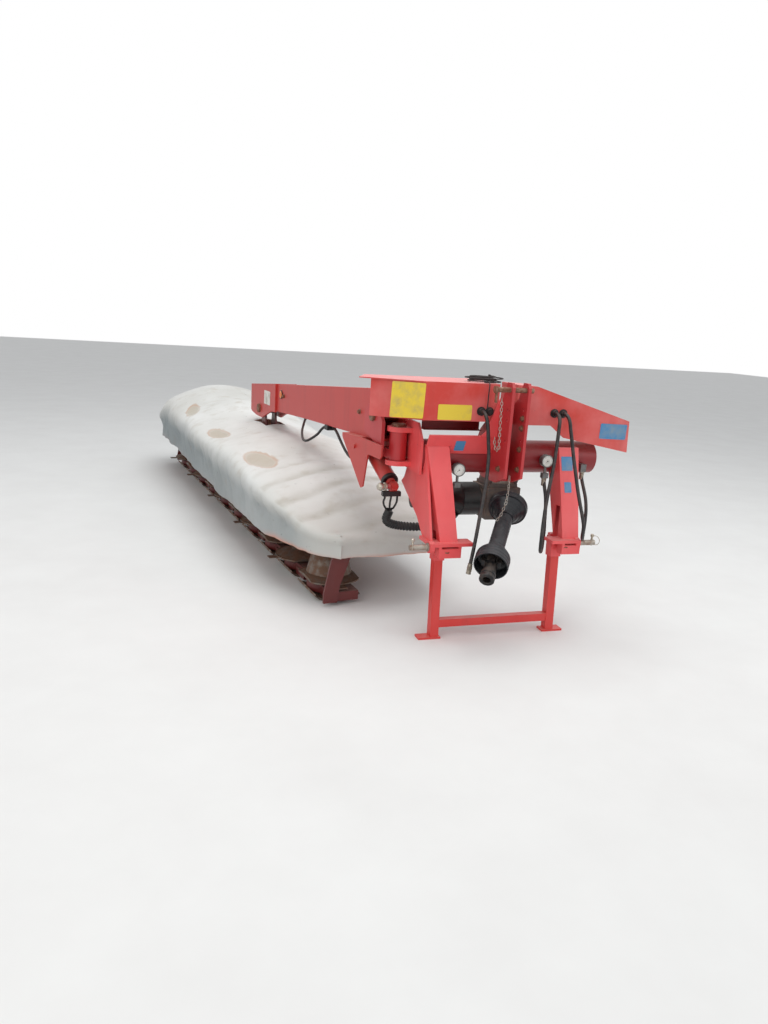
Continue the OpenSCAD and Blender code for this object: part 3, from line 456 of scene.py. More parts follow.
hood_paint = paint("hood_paint", srgb(206, 58, 48), srgb(240, 160, 160), srgb(150, 64, 56), 0.80, 0.25, 0.5)
leg_paint = paint("leg_paint", srgb(232, 78, 80), srgb(244, 128, 128), srgb(140, 56, 52), 0.55, 0.3, 0.5)
arm_paint = paint("arm_paint", srgb(188, 48, 42), srgb(200, 92, 84), srgb(118, 40, 34), 0.45, 0.35, 0.6)
# The mast's deeper red is painted shade for the shade it sits in.
mast_shade_paint = paint("mast_shade_paint", srgb(184, 42, 46), srgb(214, 104, 104), srgb(120, 40, 38), 0.4, 0.3, 0.4)
# The cross tube's deep red is painted shade for the shade under the hood.
tube_shade_paint = paint("tube_shade_paint", srgb(136, 22, 28), srgb(176, 72, 74), srgb(92, 30, 32), 0.35, 0.35, 0.35)
stand_paint = paint("stand_paint", srgb(212, 52, 48), srgb(232, 100, 94), srgb(130, 44, 38), 0.4, 0.35, 0.6)
# The mowing unit's dark brown red is painted shade for the shadow under the cover.
unit_shade_paint = paint("unit_shade_paint", srgb(96, 32, 30), srgb(120, 62, 56), srgb(52, 32, 28), 0.35, 0.5, 0.9)
print("paints:", len([m for m in bpy.data.materials if m.name.endswith("_paint")]))

# %% [markdown]
# ### Metals, rubbers and plastics
# Pins and clips are bare steel that rusts, fittings are zinc plated, and the guards and hoses are
# black plastic and rubber under grey dust. Each is one call with a clean colour, a dirty colour, the
# size and spread of the patches, how much dust the sky side takes, how metallic and how rough it is.

# %% Metals, rubbers and plastics
pin_rust = grimed("pin_rust", srgb(150, 122, 104), srgb(112, 62, 38), 45, .62, .1, .8, (.42, .82))
worn_metal = grimed("worn_metal", srgb(168, 160, 150), srgb(126, 84, 58), 34, .42, .2, .85, (.35, .8))
zinc = grimed("zinc_plated", srgb(186, 180, 168), srgb(150, 128, 96), 60, .38, .1, .8, (.3, .6))
chrome = grimed("rod_chrome", srgb(214, 214, 214), srgb(150, 140, 128), 18, .2, .2, .95, (.12, .45), .0002)
cast = grimed("cast_housing", srgb(96, 88, 84), srgb(128, 112, 98), 22, .5, .5, 0, (.55, .85), .001)
drum_black = grimed("drum_plastic", srgb(16, 16, 18), srgb(52, 49, 47), 12, .3, .7, 0, (.36, .7), .0005)
guard_black = grimed("guard_plastic", srgb(22, 24, 30), srgb(60, 60, 62), 16, .28, .6, 0, (.34, .66), .0005)
cone_black = grimed("cone_plastic", srgb(26, 28, 34), srgb(64, 63, 64), 14, .28, .6, 0, (.38, .7), .0006)
hose_rubber = grimed("hose_rubber", srgb(26, 24, 26), srgb(82, 72, 68), 26, .34, .5, 0, (.42, .8), .0005)
rope_black = grimed("rope_black", srgb(26, 25, 27), srgb(70, 64, 60), 60, .4, .4, 0, (.6, .85), .0012)
shaft_black = grimed("shaft_black", srgb(30, 29, 31), srgb(74, 62, 54), 40, .4, .3, .4, (.35, .7), .0006)
disc_steel = grimed("disc_steel", srgb(120, 112, 104), srgb(108, 76, 56), 26, .55, .3, .75, (.4, .8), .0008)
gauge_rim = grimed("gauge_rim", srgb(120, 120, 120), srgb(84, 78, 72), 40, .4, .2, .7, (.3, .6), .0003)
coupler_metal = grimed("coupler_metal", srgb(160, 152, 138), srgb(96, 82, 66), 50, .45, .2, .8, (.3, .7))
amber = grimed("reflector_amber", srgb(232, 120, 34), srgb(160, 90, 50), 40, .25, .4, 0, (.12, .5), .0004)
plate_yellow = grimed("plate_yellow", srgb(232, 202, 62), srgb(186, 164, 96), 12, .34, .2, 0,
                      (.35, .6), .0002)
plate_blue = grimed("plate_blue", srgb(72, 132, 178), srgb(128, 146, 158), 12, .36, .2, 0, (.35, .6), .0002)
plate_white = grimed("plate_white", srgb(222, 218, 210), srgb(176, 166, 152), 20, .36, .2, 0, (.4, .6), .0002)
dial_white = grimed("dial_white", srgb(226, 226, 220), srgb(180, 172, 160), 30, .3, .2, 0, (.15, .4), .0001)
ink = grimed("dial_ink", srgb(26, 26, 28), srgb(58, 54, 50), 60, .2, .1, 0, (.4, .6), .0001)
print("materials:", len(bpy.data.materials))

# %% [markdown]
# ## Hoses and cord
# Three hydraulic hoses leave the hood through rubber grommets. Each is a fixed length of stiff
# rubber: it comes straight out, bends over and hangs, and where it goes back up to a port its own
# weight makes the round bottom of a U. A curve with a round bevel is the plainest way to make one:
# the points are those of the CAD route, and the handles are worked out here, so that the curve is
# smooth and its length can be added up.

# %% Curve helpers
def set_handles(points):
    """Handles for a smooth curve through the points: a third of the way to each neighbour."""
    points = [Vector(p) for p in points]
    left, right = [], []
    for i, point in enumerate(points):
        before, after = points[max(i - 1, 0)], points[min(i + 1, len(points) - 1)]
        along = (after - before).normalized()
        left.append(point - along * (point - before).length / 3)
        right.append(point + along * (after - point).length / 3)
    return points, left, right


def curve_length(points, left, right, steps=24):
    total = 0.0
    for i in range(len(points) - 1):
        walk = interpolate_bezier(points[i], right[i], left[i + 1], points[i + 1], steps)
        total += sum((b - a).length for a, b in zip(walk, walk[1:]))
    return total


def cord_curve(name, route, diameter, finish, resolution=8):
    """A round cord along a route in metres. Gives the curve object and its length."""
    points, left, right = set_handles(route)
    curve = bpy.data.curves.new(name, "CURVE")
    curve.dimensions = "3D"
    curve.resolution_u = resolution
    curve.bevel_depth = diameter / 2
    curve.bevel_resolution = 4
    curve.use_fill_caps = True
    spline = curve.splines.new("BEZIER")
    spline.bezier_points.add(len(points) - 1)
    for handle, p, a, b in zip(spline.bezier_points, points, left, right):
        handle.handle_left_type = handle.handle_right_type = "FREE"
        handle.co, handle.handle_left, handle.handle_right = p, a, b
    curve.materials.append(finish)
    cord = bpy.data.objects.new(name, curve)
    bpy.context.scene.collection.objects.link(cord)
    return cord, curve_length(points, left, right)


def from_mm(route):
    return [(x / 1000, y / 1000, z / 1000 + FLOOR) for x, y, z in route]


print("curve helpers ready")

# %% [markdown]
# ### Routes of the front hoses
# Each route is a row of points in millimetres, from the grommet to the free end or the port. They
# could be simulated, but what shows of them was measured in the photograph, so the points are
# written down. The stretches that it hides take the shortest likely way.

# %% Hose routes
HOSE = 0.018
hose_left_route = from_mm([
    (-142, 107, 1138), (-142, 98, 1138), (-142, 84, 1134), (-141, 70, 1126), (-139, 59, 1113),
    (-136, 53, 1095), (-132, 50, 1070), (-125, 47, 1010), (-119, 41, 945), (-122, 30, 870),
    (-133, 14, 790), (-150, -6, 710),
    (-168, -26, 630), (-184, -42, 550), (-198, -54, 480), (-210, -62, 420)])
hose_middle_route = from_mm([
    (262, 107, 1138), (262, 98, 1138), (262, 84, 1134), (261, 70, 1126), (260, 59, 1113), (258, 53, 1095),
    (256, 50, 1070), (252, 44, 1010), (244, 34, 940), (230, 20, 860), (212, 4, 780), (195, -14, 700),
    (180, -34, 620), (172, -46, 565), (170, -50, 528), (174, -43, 491), (188, -21, 459), (216, 20, 444),
    (240, 55, 456), (256, 81, 486), (262, 90, 528), (262, 96, 590), (262, 102, 650), (260, 110, 705),
    (256, 122, 748), (254, 132, 776), (253, 137, 792), (253, 137, 802.7)])
hose_right_route = from_mm([
    (312, 107, 1138), (312, 98, 1138), (312, 84, 1134), (313, 70, 1126), (315, 59, 1113), (318, 53, 1095),
    (322, 50, 1070), (332, 40, 1010), (344, 26, 930), (356, 8, 850), (366, -14, 770), (375, -38, 700),
    (383, -58, 645), (389, -70, 597), (395, -61, 555), (412, -36, 525), (436, -2, 514), (459, 32, 525),
    (477, 57, 555), (483, 66, 597), (486, 76, 650), (486, 92, 700), (481, 114, 750), (475, 130, 790),
    (472, 137, 818), (472, 137, 835.7)])
for name, route in (("hose_left", hose_left_route), ("hose_middle", hose_middle_route),
                    ("hose_right", hose_right_route)):
    hose, length = cord_curve(name + "_rubber", route, HOSE, hose_rubber)
    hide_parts(name)
    keep(hose, "headstock", "black_rubber")
    print(name, "is", round(length, 3), "m long")

# %% [markdown]
# ### Coupling on the loose hose
# A parked mower's feed hose hangs with its quick coupling down: a crimped ferrule, a hexagon, a
# knurled sleeve and a dust cap. It is turned from one profile like a lathe part, and the hexagon is
# a second short piece with six sides.

# %% Hose coupling
tip, before_tip = Vector(hose_left_route[-1]), Vector(hose_left_route[-2])
hanging = (tip - before_tip).normalized()
sleeve = turned("coupling_sleeve", [
    (0.0094, 0), (0.0122, 0), (0.0122, 0.004), (0.0108, 0.0055), (0.0108, 0.0085), (0.0122, 0.010),
    (0.0122, 0.017), (0.0104, 0.018), (0.0104, 0.027), (0.0125, 0.0285), (0.0125, 0.041),
    (0.0112, 0.0425), (0.0112, 0.046),
    (0.0125, 0.0472), (0.0125, 0.0525), (0.0095, 0.054)], 40)
pick(sleeve, lambda f: 0.030 < f.center.z < 0.040 and abs(f.normal.z) < .3)
bpy.ops.mesh.inset(thickness=0.00025, depth=-0.0004, use_individual=True)
close_edit()
hexagon = turned("coupling_hexagon", [
    (0.0118, 0.0175), (0.0128, 0.0185), (0.0128, 0.0262), (0.0118, 0.0272)], 6)
smooth(sleeve, 40)
smooth(hexagon, 20)
sleeve.data.materials.append(coupler_metal)
hexagon.data.materials.append(coupler_metal)
coupling = join("hose_coupling", [sleeve, hexagon])
place(coupling, tip - hanging * 0.0005, hanging)
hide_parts("hose_coupler")
keep(coupling, "headstock", "pin_steel")
print("coupling hangs at", [round(v, 3) for v in tip])

# %% [markdown]
# ### What the front hoses are
# The left hose ends in its coupling, and the other two go back into the machine.

# %% [markdown]
# ### Control cord
# A thin black cord lies thrown on the hood in a loose heap. Such mowers have one to work a latch or
# a valve from the tractor seat, and it is left there when they are parked. One open curve goes up from
# the hole in the hood, over its edge and round in loops of changing size. Each turn lies a little
# higher than the one below, so the cord rests on itself and never runs through itself.

# %% Control cord
ROPE = 0.006
rope_tail = [(-117, 110, 1152), (-116, 110, 1170), (-116, 110, 1190), (-116, 110, 1220), (-115, 110, 1245),
             (-114, 111, 1261), (-113, 114, 1271), (-112, 120, 1278), (-111, 127, 1281)]
HEAP = (-96, 232)
HOOD_TOP = 1272.3
TURNS, POINTS_PER_TURN = 4.4, 16
START_ANGLE = math.radians(252)
WIDE, DEEP = 1.05, 0.92
RISE_PER_TURN = 6.7
loops = []
for i in range(int(TURNS * POINTS_PER_TURN) + 1):
    t = i / POINTS_PER_TURN
    angle = START_ANGLE + t * math.tau
    radius = 70 + 15 * math.sin(2.3 * t + 0.8) + 6 * math.sin(angle * 2 + t)
    shift = (7 * math.sin(1.9 * t + 1), 7 * math.cos(2.7 * t))
    height = HOOD_TOP + 3.3 + RISE_PER_TURN * max(t - 0.35, 0)
    loops.append((HEAP[0] + shift[0] + radius * WIDE * math.cos(angle),
                  HEAP[1] + shift[1] + radius * DEEP * math.sin(angle), height))
bridge = [(-110, 137, 1279.5), (-110, 147, 1276.6)]
rope_route = from_mm(rope_tail + bridge + loops)
rope, rope_length = cord_curve("control_cord", rope_route, ROPE, rope_black, 4)
rope.data.bevel_resolution = 2
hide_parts("control_rope", "rope_heap")
keep(rope, "headstock", "rope_black")
knot_at, knot_from = Vector(rope_route[-1]), Vector(rope_route[-2])
knot = turned("knot_core", [
    (0.003, -0.006), (0.0062, -0.004), (0.0072, 0), (0.0062, 0.004), (0.003, 0.006)], 12)
bpy.ops.mesh.primitive_torus_add(major_radius=0.0052, minor_radius=0.0026,
                                 major_segments=16, minor_segments=6)
wrap = named("knot_wrap")
wrap.data.transform(Matrix.Rotation(0.6, 4, "X"))
knot = join("cord_knot", [knot, wrap])
smooth(knot, 60)
place(knot, knot_at + (knot_at - knot_from).normalized() * 0.004, knot_at - knot_from)
keep(knot, "headstock", "rope_black", rope_black)
print("control cord is", round(rope_length, 3), "m long")

# %% [markdown]
# ## Floor and light
# A pale floor and an overcast sky: broad soft light from above and a weak, wide lamp from the
# camera's left, so that the steel has soft shadows and no hard glare. Rays that go straight from the
# camera, or off shiny parts, to the world find plain white.

# %% Floor and light
deselect()
FLOOR_SIZE, FLOOR_MIDDLE = 60, (-0.5, 2.0, FLOOR)
bpy.ops.mesh.primitive_plane_add(size=FLOOR_SIZE, location=FLOOR_MIDDLE)
floor = named("floor")
floor.data.transform(Matrix.Translation(FLOOR_MIDDLE))
floor.location = (0, 0, 0)
pick(floor, lambda f: True)
bpy.ops.mesh.subdivide(number_cuts=9)
close_edit(False)
floor_paint, tree, shader = material("floor_pale", (0.80, 0.79, 0.77, 1))
grain = noise_at(tree, node(tree, "TexCoord").outputs["Object"], 3.0, 6.0)
tree.links.new(tint(tree, grain, srgb(226, 224, 221), srgb(236, 235, 232)), shader.inputs["Base Color"])
shader.inputs["Roughness"].default_value = 0.85
shader.inputs["Specular IOR Level"].default_value = 0.15
floor.data.materials.append(floor_paint)

SKY_STRENGTH = 0.62
world = bpy.data.worlds.new("studio")
bpy.context.scene.world = world
world.use_nodes = True
sky = world.node_tree
background = sky.nodes["Background"]
seen = node(sky, "Background", Color=(1, 1, 1, 1), Strength=1.0)
paths = node(sky, "LightPath")
direct = maths(sky, "MAXIMUM", paths.outputs["Is Glossy Ray"], paths.outputs["Is Transmission Ray"])
direct = maths(sky, "MAXIMUM", paths.outputs["Is Camera Ray"], direct)
background.inputs["Color"].default_value = (0.93, 0.96, 1.0, 1)
background.inputs["Strength"].default_value = SKY_STRENGTH
choose = node(sky, "MixShader", i0=direct, i1=background.outputs[0], i2=seen.outputs[0])
sky.links.new(choose.outputs[0], sky.nodes["World Output"].inputs["Surface"])


def lamp(name, at, towards, power, size, colour=(1, 1, 1)):
    data = bpy.data.lights.new(name, "AREA")
    data.shape, data.size, data.energy, data.color = "DISK", size, power, colour
    light = bpy.data.objects.new(name, data)
    bpy.context.scene.collection.objects.link(light)
    light.location = at
    light.rotation_euler = (Vector(towards) - Vector(at)).to_track_quat("-Z", "Y").to_euler()


lamp("sky_panel", (-0.5, 1.2, 6.5), (-0.5, 1.2, 0), 250, 6.0, (0.97, 0.99, 1.0))
lamp("left_panel", (-5.5, -4.5, 3.6), (-0.5, 1.0, 0.2), 110, 4.0, (1.0, 0.98, 0.95))
lamp("right_panel", (5.0, -3.0, 3.0), (0, 1.0, 0.2), 70, 4.0)
print("floor and three lamps")

# %% [markdown]
# ## Paint for the CAD parts
# The CAD nodes that keep their own shape only need the right finish. One table gives each its
# material.

# %% Finishes of the CAD parts
finish_of = {
    tube_shade_paint: ["cross_tube"],
    leg_paint: ["pivot_ears", "leg_left", "leg_right", "tube_saddle"],
    mast_shade_paint: ["mast"],
    hood_paint: ["hood", "hose_guard"],
    stand_paint: ["stand", "knuckle"],
    arm_paint: ["arm_beam", "arm_bracket", "arm_end", "cylinder_barrel"],
    unit_shade_paint: ["cutter_bar", "carrier_beam", "guard_frame"],
    pin_rust: ["swing_pin", "top_link_pin", "lift_pin", "float_pin"],
    shaft_black: ["pto_shaft"],
    worn_metal: ["hitch_pins"],
    chrome: ["cylinder_rod"],
    cast: ["input_gearbox", "bar_gearbox"],
    drum_black: ["transmission_guard"],
    guard_black: ["pto_guard"],
    hose_rubber: ["grommets"],
    gauge_rim: ["hydraulic_ports"],
    disc_steel: ["skids"] + ["disc_%d" % i for i in range(1, 11)],
}
for finish, names in finish_of.items():
    for name in names:
        part = nodes[name]
        part.data.materials.clear()
        part.data.materials.append(finish)
print("painted", sum(len(v) for v in finish_of.values()), "CAD nodes")

# %% [markdown]
# ## The tarpaulin cover
# The cover is one sheet of coated cloth over the mower's hoops, with skirts that hang to knee height
# on all sides. It could be simulated, but its shape is settled by the hoops and by years of rain, so
# it is drawn: a grid across the top, a skirt hung from its edge, and smoothing where the cloth bends
# over. Rows of numbers give its outline along the unit (u), measured in the photograph where it
# shows and guessed on the far side. Between the hoops it sags, pools of rain have stretched shallow
# hollows, and the near end is creased.

# %% Cover outline
def table(*rows):
    """A smooth-cornered lookup from rows of (u, value), in metres."""
    us, values = [r[0] for r in rows], [r[1] for r in rows]

    def value_at(u):
        spots = np.asarray(u)[..., None] + np.linspace(-0.05, 0.05, 5)
        return np.interp(spots, us, values).mean(-1)
    return value_at


HALF = 2.190
SPINE = -0.020
CLOTH = 0.004
FRONT_V, WIDTH = 0.490, 1.010
TOWER_U, TOWER_SIDE = (-.25, .08), 0.076
REAR_HEM = 0.282
front_edge = table((-2.19, .200), (-2.10, .345), (-1.70, .490), (1.85, .490), (2.10, .455), (2.19, .400))
rear_edge = table((-2.19, -.300), (-2.10, -.460), (-1.70, -.520), (1.70, -.520), (2.10, -.460), (2.19, -.300))
front_ridge = table((-2.19, .425), (-2.10, .428), (-1.90, .478), (-1.70, .530), (-1.45, .567),
                    (-1.25, .592), (-.90, .616), (-.70, .626), (-.35, .614), (0, .601), (.35, .624),
                    (.70, .652), (1.05, .636), (1.45, .667), (1.70, .648), (1.95, .600), (2.19, .520))
rear_ridge = table((-2.19, .405), (-1.70, .520), (-1.45, .565), (-.70, .626), (0, .612), (.70, .652),
                   (1.08, .645), (1.45, .690), (1.80, .700), (2.19, .680))
crown = table((-2.19, .012), (-2.10, .034), (-1.70, .090), (.25, .092), (.80, .140), (1.70, .170),
              (2.10, .155), (2.19, .130))
hem_front = table((-2.19, .286), (-2.02, .292), (-1.72, .296), (-1.30, .288), (-.50, .282),
                  (.30, .290), (.95, .318), (1.55, .335), (1.95, .320), (2.19, .290))
print("cover is", 2 * HALF, "m long")

# %% [markdown]
# ### Grid across the top
# The top is a fine grid along and across the unit. Its lines are laid so that some of them fall on
# the edges of the opening round the tower, and the height at each point is the height of the two
# ridges plus a crown between them.

# %% Cover grid
edge_us = np.array([-HALF, *TOWER_U, HALF])
u_line = np.concatenate([np.linspace(a, b, int(round((b - a) / .0215)) + 1)[:-1]
                         for a, b in zip(edge_us, edge_us[1:])] + [[HALF]])
t_open = [(FRONT_V - v) / WIDTH for v in (TOWER_SIDE, -TOWER_SIDE)]
t_line = np.concatenate([np.linspace(a, b, n + 1)[:-1] for a, b, n in
                         ((0, t_open[0], 20), (t_open[0], t_open[1], 8), (t_open[1], 1, 20))] + [[1.0]])
U, T = np.meshgrid(u_line, t_line, indexing="ij")
F, R = front_edge(U), rear_edge(U)
V = F + (R - F) * T
towards = np.where(V > SPINE, (F - V) / (F - SPINE), (V - R) / (SPINE - R))
lift = np.sin(np.pi / 2 * np.clip(towards, 0, 1)) ** (1 - .35 * np.clip((U - .8) / .8, 0, 1))
edge_z = front_ridge(U) * (1 - T) + rear_ridge(U) * T
Z = edge_z + crown(U) * lift


def waves(points, scale, seed):
    """Smooth noise of a few octaves at rows of points, the same in each run."""
    spots = [Vector((p[0] * scale + seed, p[1] * scale, seed * 1.7)) for p in points]
    return np.array([noise.fractal(spot, 1.0, 2.0, 3) for spot in spots])


def at_grid(scale, seed):
    return waves(np.stack([U.ravel(), V.ravel()], 1), scale, seed).reshape(U.shape)


print("top grid", U.shape)

# %% [markdown]
# ### Sags, pools and creases
# The hoops stand at four places along the cover. Between them the top hangs a little. Each pool is a
# long oval hollow behind the front ridge. The creases at the near end run across, from the front
# edge towards the spine, and fade out after the first hoop.

# %% Shape of the top
HOOPS = (-1.45, -.70, .70, 1.45)
# Each pool: place along and across the unit, half its length and width, slant and depth.
POOLS = [(-1.09, .360, .20, .075, .12, .016),
         (-.02, .375, .20, .062, .05, .012),
         (.91, .385, .22, .055, -.20, .011)]
CREASE_PITCH = 0.205
inside = np.clip(towards, 0, 1)
away = np.min([np.abs(U - h) for h in HOOPS], axis=0)
hang = np.clip(away / 0.5, 0, 1)
Z -= 0.016 * hang * hang * (0.35 + 0.65 * np.sin(np.pi * np.clip(inside * 1.1, 0, 1)))
Z += 0.007 * at_grid(1.7, 3.1) * np.clip(away / 0.12, 0, 1)
pool_mask = np.zeros_like(U)
for pu, pv, long_half, short_half, slant, depth in POOLS:
    du, dv = U - pu, V - pv
    a = du * math.cos(slant) + dv * math.sin(slant)
    b = -du * math.sin(slant) + dv * math.cos(slant)
    oval = (a / long_half) ** 2 + (b / short_half) ** 2
    Z -= depth * np.exp(-1.2 * oval ** 1.5)
    pool_mask = np.maximum(pool_mask, np.clip(1.25 - oval, 0, 1) * (0.55 + depth * 37))
tower_tent = np.exp(-((U + .085) / .30) ** 2 - ((V - .0) / .20) ** 2)
Z += 0.048 * tower_tent
near = np.clip((-1.22 - U) / .25, 0, 1) * np.clip((U + 2.19) / .12, 0, 1)
wander = U + 0.16 * V + 0.035 * at_grid(2.4, 7.7)
crease = np.sin(2 * np.pi * wander / CREASE_PITCH)
crease = np.sign(crease) * np.abs(crease) ** 1.4
from_spine = np.clip((V + .25) / .3, 0, 1)
to_edge = np.clip((1.06 - np.clip(V / .49, -1, 1)) * 2.2, 0, 1)
Z += near * 0.0105 * crease * from_spine * to_edge
small = np.abs(at_grid(6.5, 11.3))
Z += 0.0028 * (small - .25) * np.clip(away / 0.06, 0, 1)
print("top is between", round(float(Z.min()), 3), "and", round(float(Z.max()), 3), "m above the ground")

# %% [markdown]
# ### Skirt
# The edge of the grid is walked once round, and each of its points is let down in rows to the hem.
# Going down, the cloth first leans out over the ridge and then swings in and out in slack folds.

# %% Skirt rows
nu, nv = U.shape
number = np.arange(nu * nv).reshape(nu, nv)
loop = np.concatenate([number[:-1, 0], number[-1, :-1], number[:0:-1, -1], number[0, :0:-1]])
top_points = np.stack([U.ravel(), V.ravel(), Z.ravel()], 1)
ring = top_points[loop]
nxt, prv = np.roll(ring, -1, 0), np.roll(ring, 1, 0)
tangent = nxt[:, :2] - prv[:, :2]
tangent /= np.linalg.norm(tangent, axis=1)[:, None]
outward = np.stack([tangent[:, 1], -tangent[:, 0]], 1)
if (outward * (ring[:, :2] - [0, -.015])).sum() < 0:
    outward = -outward
length_round = np.concatenate([[0], np.cumsum(np.linalg.norm(np.diff(ring[:, :2], axis=0), axis=1))])
is_rear = np.clip((-ring[:, 1] - .05) / .3, 0, 1)
hem_z = hem_front(ring[:, 0]) * (1 - is_rear) + REAR_HEM * is_rear


def round_edge(spot, octaves):
    """Smooth noise along the cover's edge, read at spot(distance round the edge)."""
    return np.array([noise.fractal(Vector(spot(d)), 1.0, 2.0, octaves) for d in length_round])


ragged = round_edge(lambda d: (d * 9.0, 2.3, 0), 4)
in_front = ring[:, 1] > 0
torn = (np.exp(-((ring[:, 0] + 2.06) / .10) ** 2) * in_front
        + .6 * np.exp(-((ring[:, 0] + 1.78) / .07) ** 2) * in_front)
hem_z = hem_z + 0.005 * ragged + torn * 0.010 * np.abs(ragged)
swing = round_edge(lambda d: (d * 2.6, 5.1, 0), 3)
SKIRT_ROWS = 15
rows, row_part = [], []
for k in range(1, SKIRT_ROWS + 1):
    s = (k / SKIRT_ROWS) ** 1.15
    z = ring[:, 2] * (1 - s) + hem_z * s
    slack = np.sin(np.pi * s) ** .8 * np.clip((ring[:, 0] + 2.12) / .35, .12, 1)
    dents = round_edge(lambda d, s=s: (d * 2.1 - s * .62, s * .8, 8.4), 2)
    pleat = round_edge(lambda d, s=s: (d * 5.2 + s * .9, s * .5, 2.2), 2)
    push = (0.010 * np.sin(np.pi * min(s * 2.2, 1)) + 0.020 * swing * s - 0.004 * s
            + slack * (0.040 * dents - 0.020 * np.clip(.22 - np.abs(pleat), 0, 1) / .22))
    rows.append(np.column_stack([ring[:, :2] + outward * push[:, None], z]))
    row_part.append(np.full(len(ring), s))
points = np.concatenate([top_points] + rows)
skirt_part = np.concatenate([np.zeros(nu * nv)] + row_part)
faces = []
for i in range(nu - 1):
    for j in range(nv - 1):
        in_tower = TOWER_U[0] - .0005 < u_line[i] < TOWER_U[1] - .0005
        if in_tower and t_open[0] - 1e-6 < t_line[j] < t_open[1] - 1e-6:
            continue
        faces.append((number[i, j], number[i + 1, j], number[i + 1, j + 1], number[i, j + 1]))
count = len(loop)
above = loop
for k in range(SKIRT_ROWS):
    below = nu * nv + k * count + np.arange(count)
    faces += [(above[i], below[i], below[(i + 1) % count], above[(i + 1) % count]) for i in range(count)]
    above = below
print("cover mesh:", len(points), "points,", len(faces), "faces")

# %% [markdown]
# ### Round bend
# Where the top meets the skirt the points still make a sharp edge. Coated cloth bends round a hoop,
# so the points near the edge are moved towards the middle of their neighbours, a few times over.

# %% Smooth the bend over the ridge
SMOOTHING_ROUNDS = 14
edges = np.array(sorted({tuple(sorted((int(f[i]), int(f[(i + 1) % 4])))) for f in faces for i in range(4)}))
degree = np.bincount(edges.ravel(), minlength=len(points)).astype(float)
rim_gap = np.concatenate([np.minimum(np.minimum(F - V, V - R), np.minimum(U + HALF, HALF - U)).ravel(),
                          skirt_part[nu * nv:] * 0.30])
soft = np.clip(1 - rim_gap / 0.055, 0, 1)[:, None] * 0.8
hem_row = skirt_part > .999
opening = (degree < 4) & (skirt_part == 0)
soft[hem_row] = 0
soft[opening] = 0
for _ in range(SMOOTHING_ROUNDS):
    around = np.zeros_like(points)
    np.add.at(around, edges[:, 0], points[edges[:, 1]])
    np.add.at(around, edges[:, 1], points[edges[:, 0]])
    around /= np.maximum(degree, 1)[:, None]
    points = points + (around - points) * soft
print("ridge smoothed over", int((soft > 0).sum()), "points")

# %% [markdown]
# ### The sheet as an object
# The points and faces become a mesh before it gets a thickness. Masks for the pools, the skirt, the
# hem and the creased end are kept as attributes, so that the cloth's material can follow the shape.

# %% Cover mesh
points[:, 2] += FLOOR
c, n = math.cos(PARKED), math.sin(PARKED)
s_line = REACH + points[:, 0]
row_frame = np.column_stack([SWING[0] + s_line * c - points[:, 1] * n,
                             SWING[1] + s_line * n + points[:, 1] * c, points[:, 2]])
sheet_mesh = bpy.data.meshes.new("tarpaulin_cover")
sheet_mesh.from_pydata([tuple(p) for p in row_frame], [], faces)
top_faces = (len(faces) - count * SKIRT_ROWS)
along_skirt = np.tile(length_round, SKIRT_ROWS + 1)
down_skirt = np.repeat(np.arange(SKIRT_ROWS + 1), count) * 0.02
uv_layer = sheet_mesh.uv_layers.new(name="cloth")
ring_spot = {int(v): i for i, v in enumerate(loop)}
uvs = []
for index, face in enumerate(faces):
    for v in face:
        if index < top_faces:
            uvs.append((U.flat[v], V.flat[v]))
        else:
            place_in = ring_spot[int(v)] if v < nu * nv else v - nu * nv + count
            uvs.append((along_skirt[place_in], -down_skirt[place_in]))
uv_layer.data.foreach_set("uv", np.array(uvs).ravel())


def mask_of(name, values):
    layer = sheet_mesh.attributes.new(name, "FLOAT", "POINT")
    layer.data.foreach_set("value", np.asarray(values, dtype=float))


plan_u, plan_v = points[:, 0], points[:, 1]
skirt_points = len(points) - nu * nv
mask_of("pool", np.concatenate([pool_mask.ravel(), np.zeros(skirt_points)]))
# The skirt mask carries a painted shade: weaker on the near end's face and growing along the unit.
end_face = np.clip((-1.90 - plan_u) / .22, 0, 1)
skirt_shade_along = .74 + .26 * np.clip((plan_u + 1.6) / 2.4, 0, 1)
mask_of("skirt", np.clip((skirt_part - .01) * 2.2, 0, 1) * (1 - .72 * end_face) * skirt_shade_along)
uneven = np.clip(1.2 * (np.sin(plan_u * 7.1 + plan_v * 5) * .5 + .75), 0, 1)
mask_of("hem", np.clip((skirt_part - .90) / .09, 0, 1) * uneven * np.clip((-1.55 - plan_u) / .2, 0.12, 1))
mask_of("near_end", np.clip((-1.35 - plan_u) / .75, 0, 1))
# The hollow mask marks the troughs of the near end's creases, where painted shade goes.
mask_of("hollow", np.concatenate([(near * np.clip(-crease, 0, 1)).ravel(), np.zeros(skirt_points)]))
deselect()
cover = bpy.data.objects.new("tarpaulin_cover", sheet_mesh)
bpy.context.scene.collection.objects.link(cover)
pick(cover, lambda f: True)
close_edit()
if sum(p.normal.z * p.area for p in sheet_mesh.polygons) < 0:
    sheet_mesh.flip_normals()
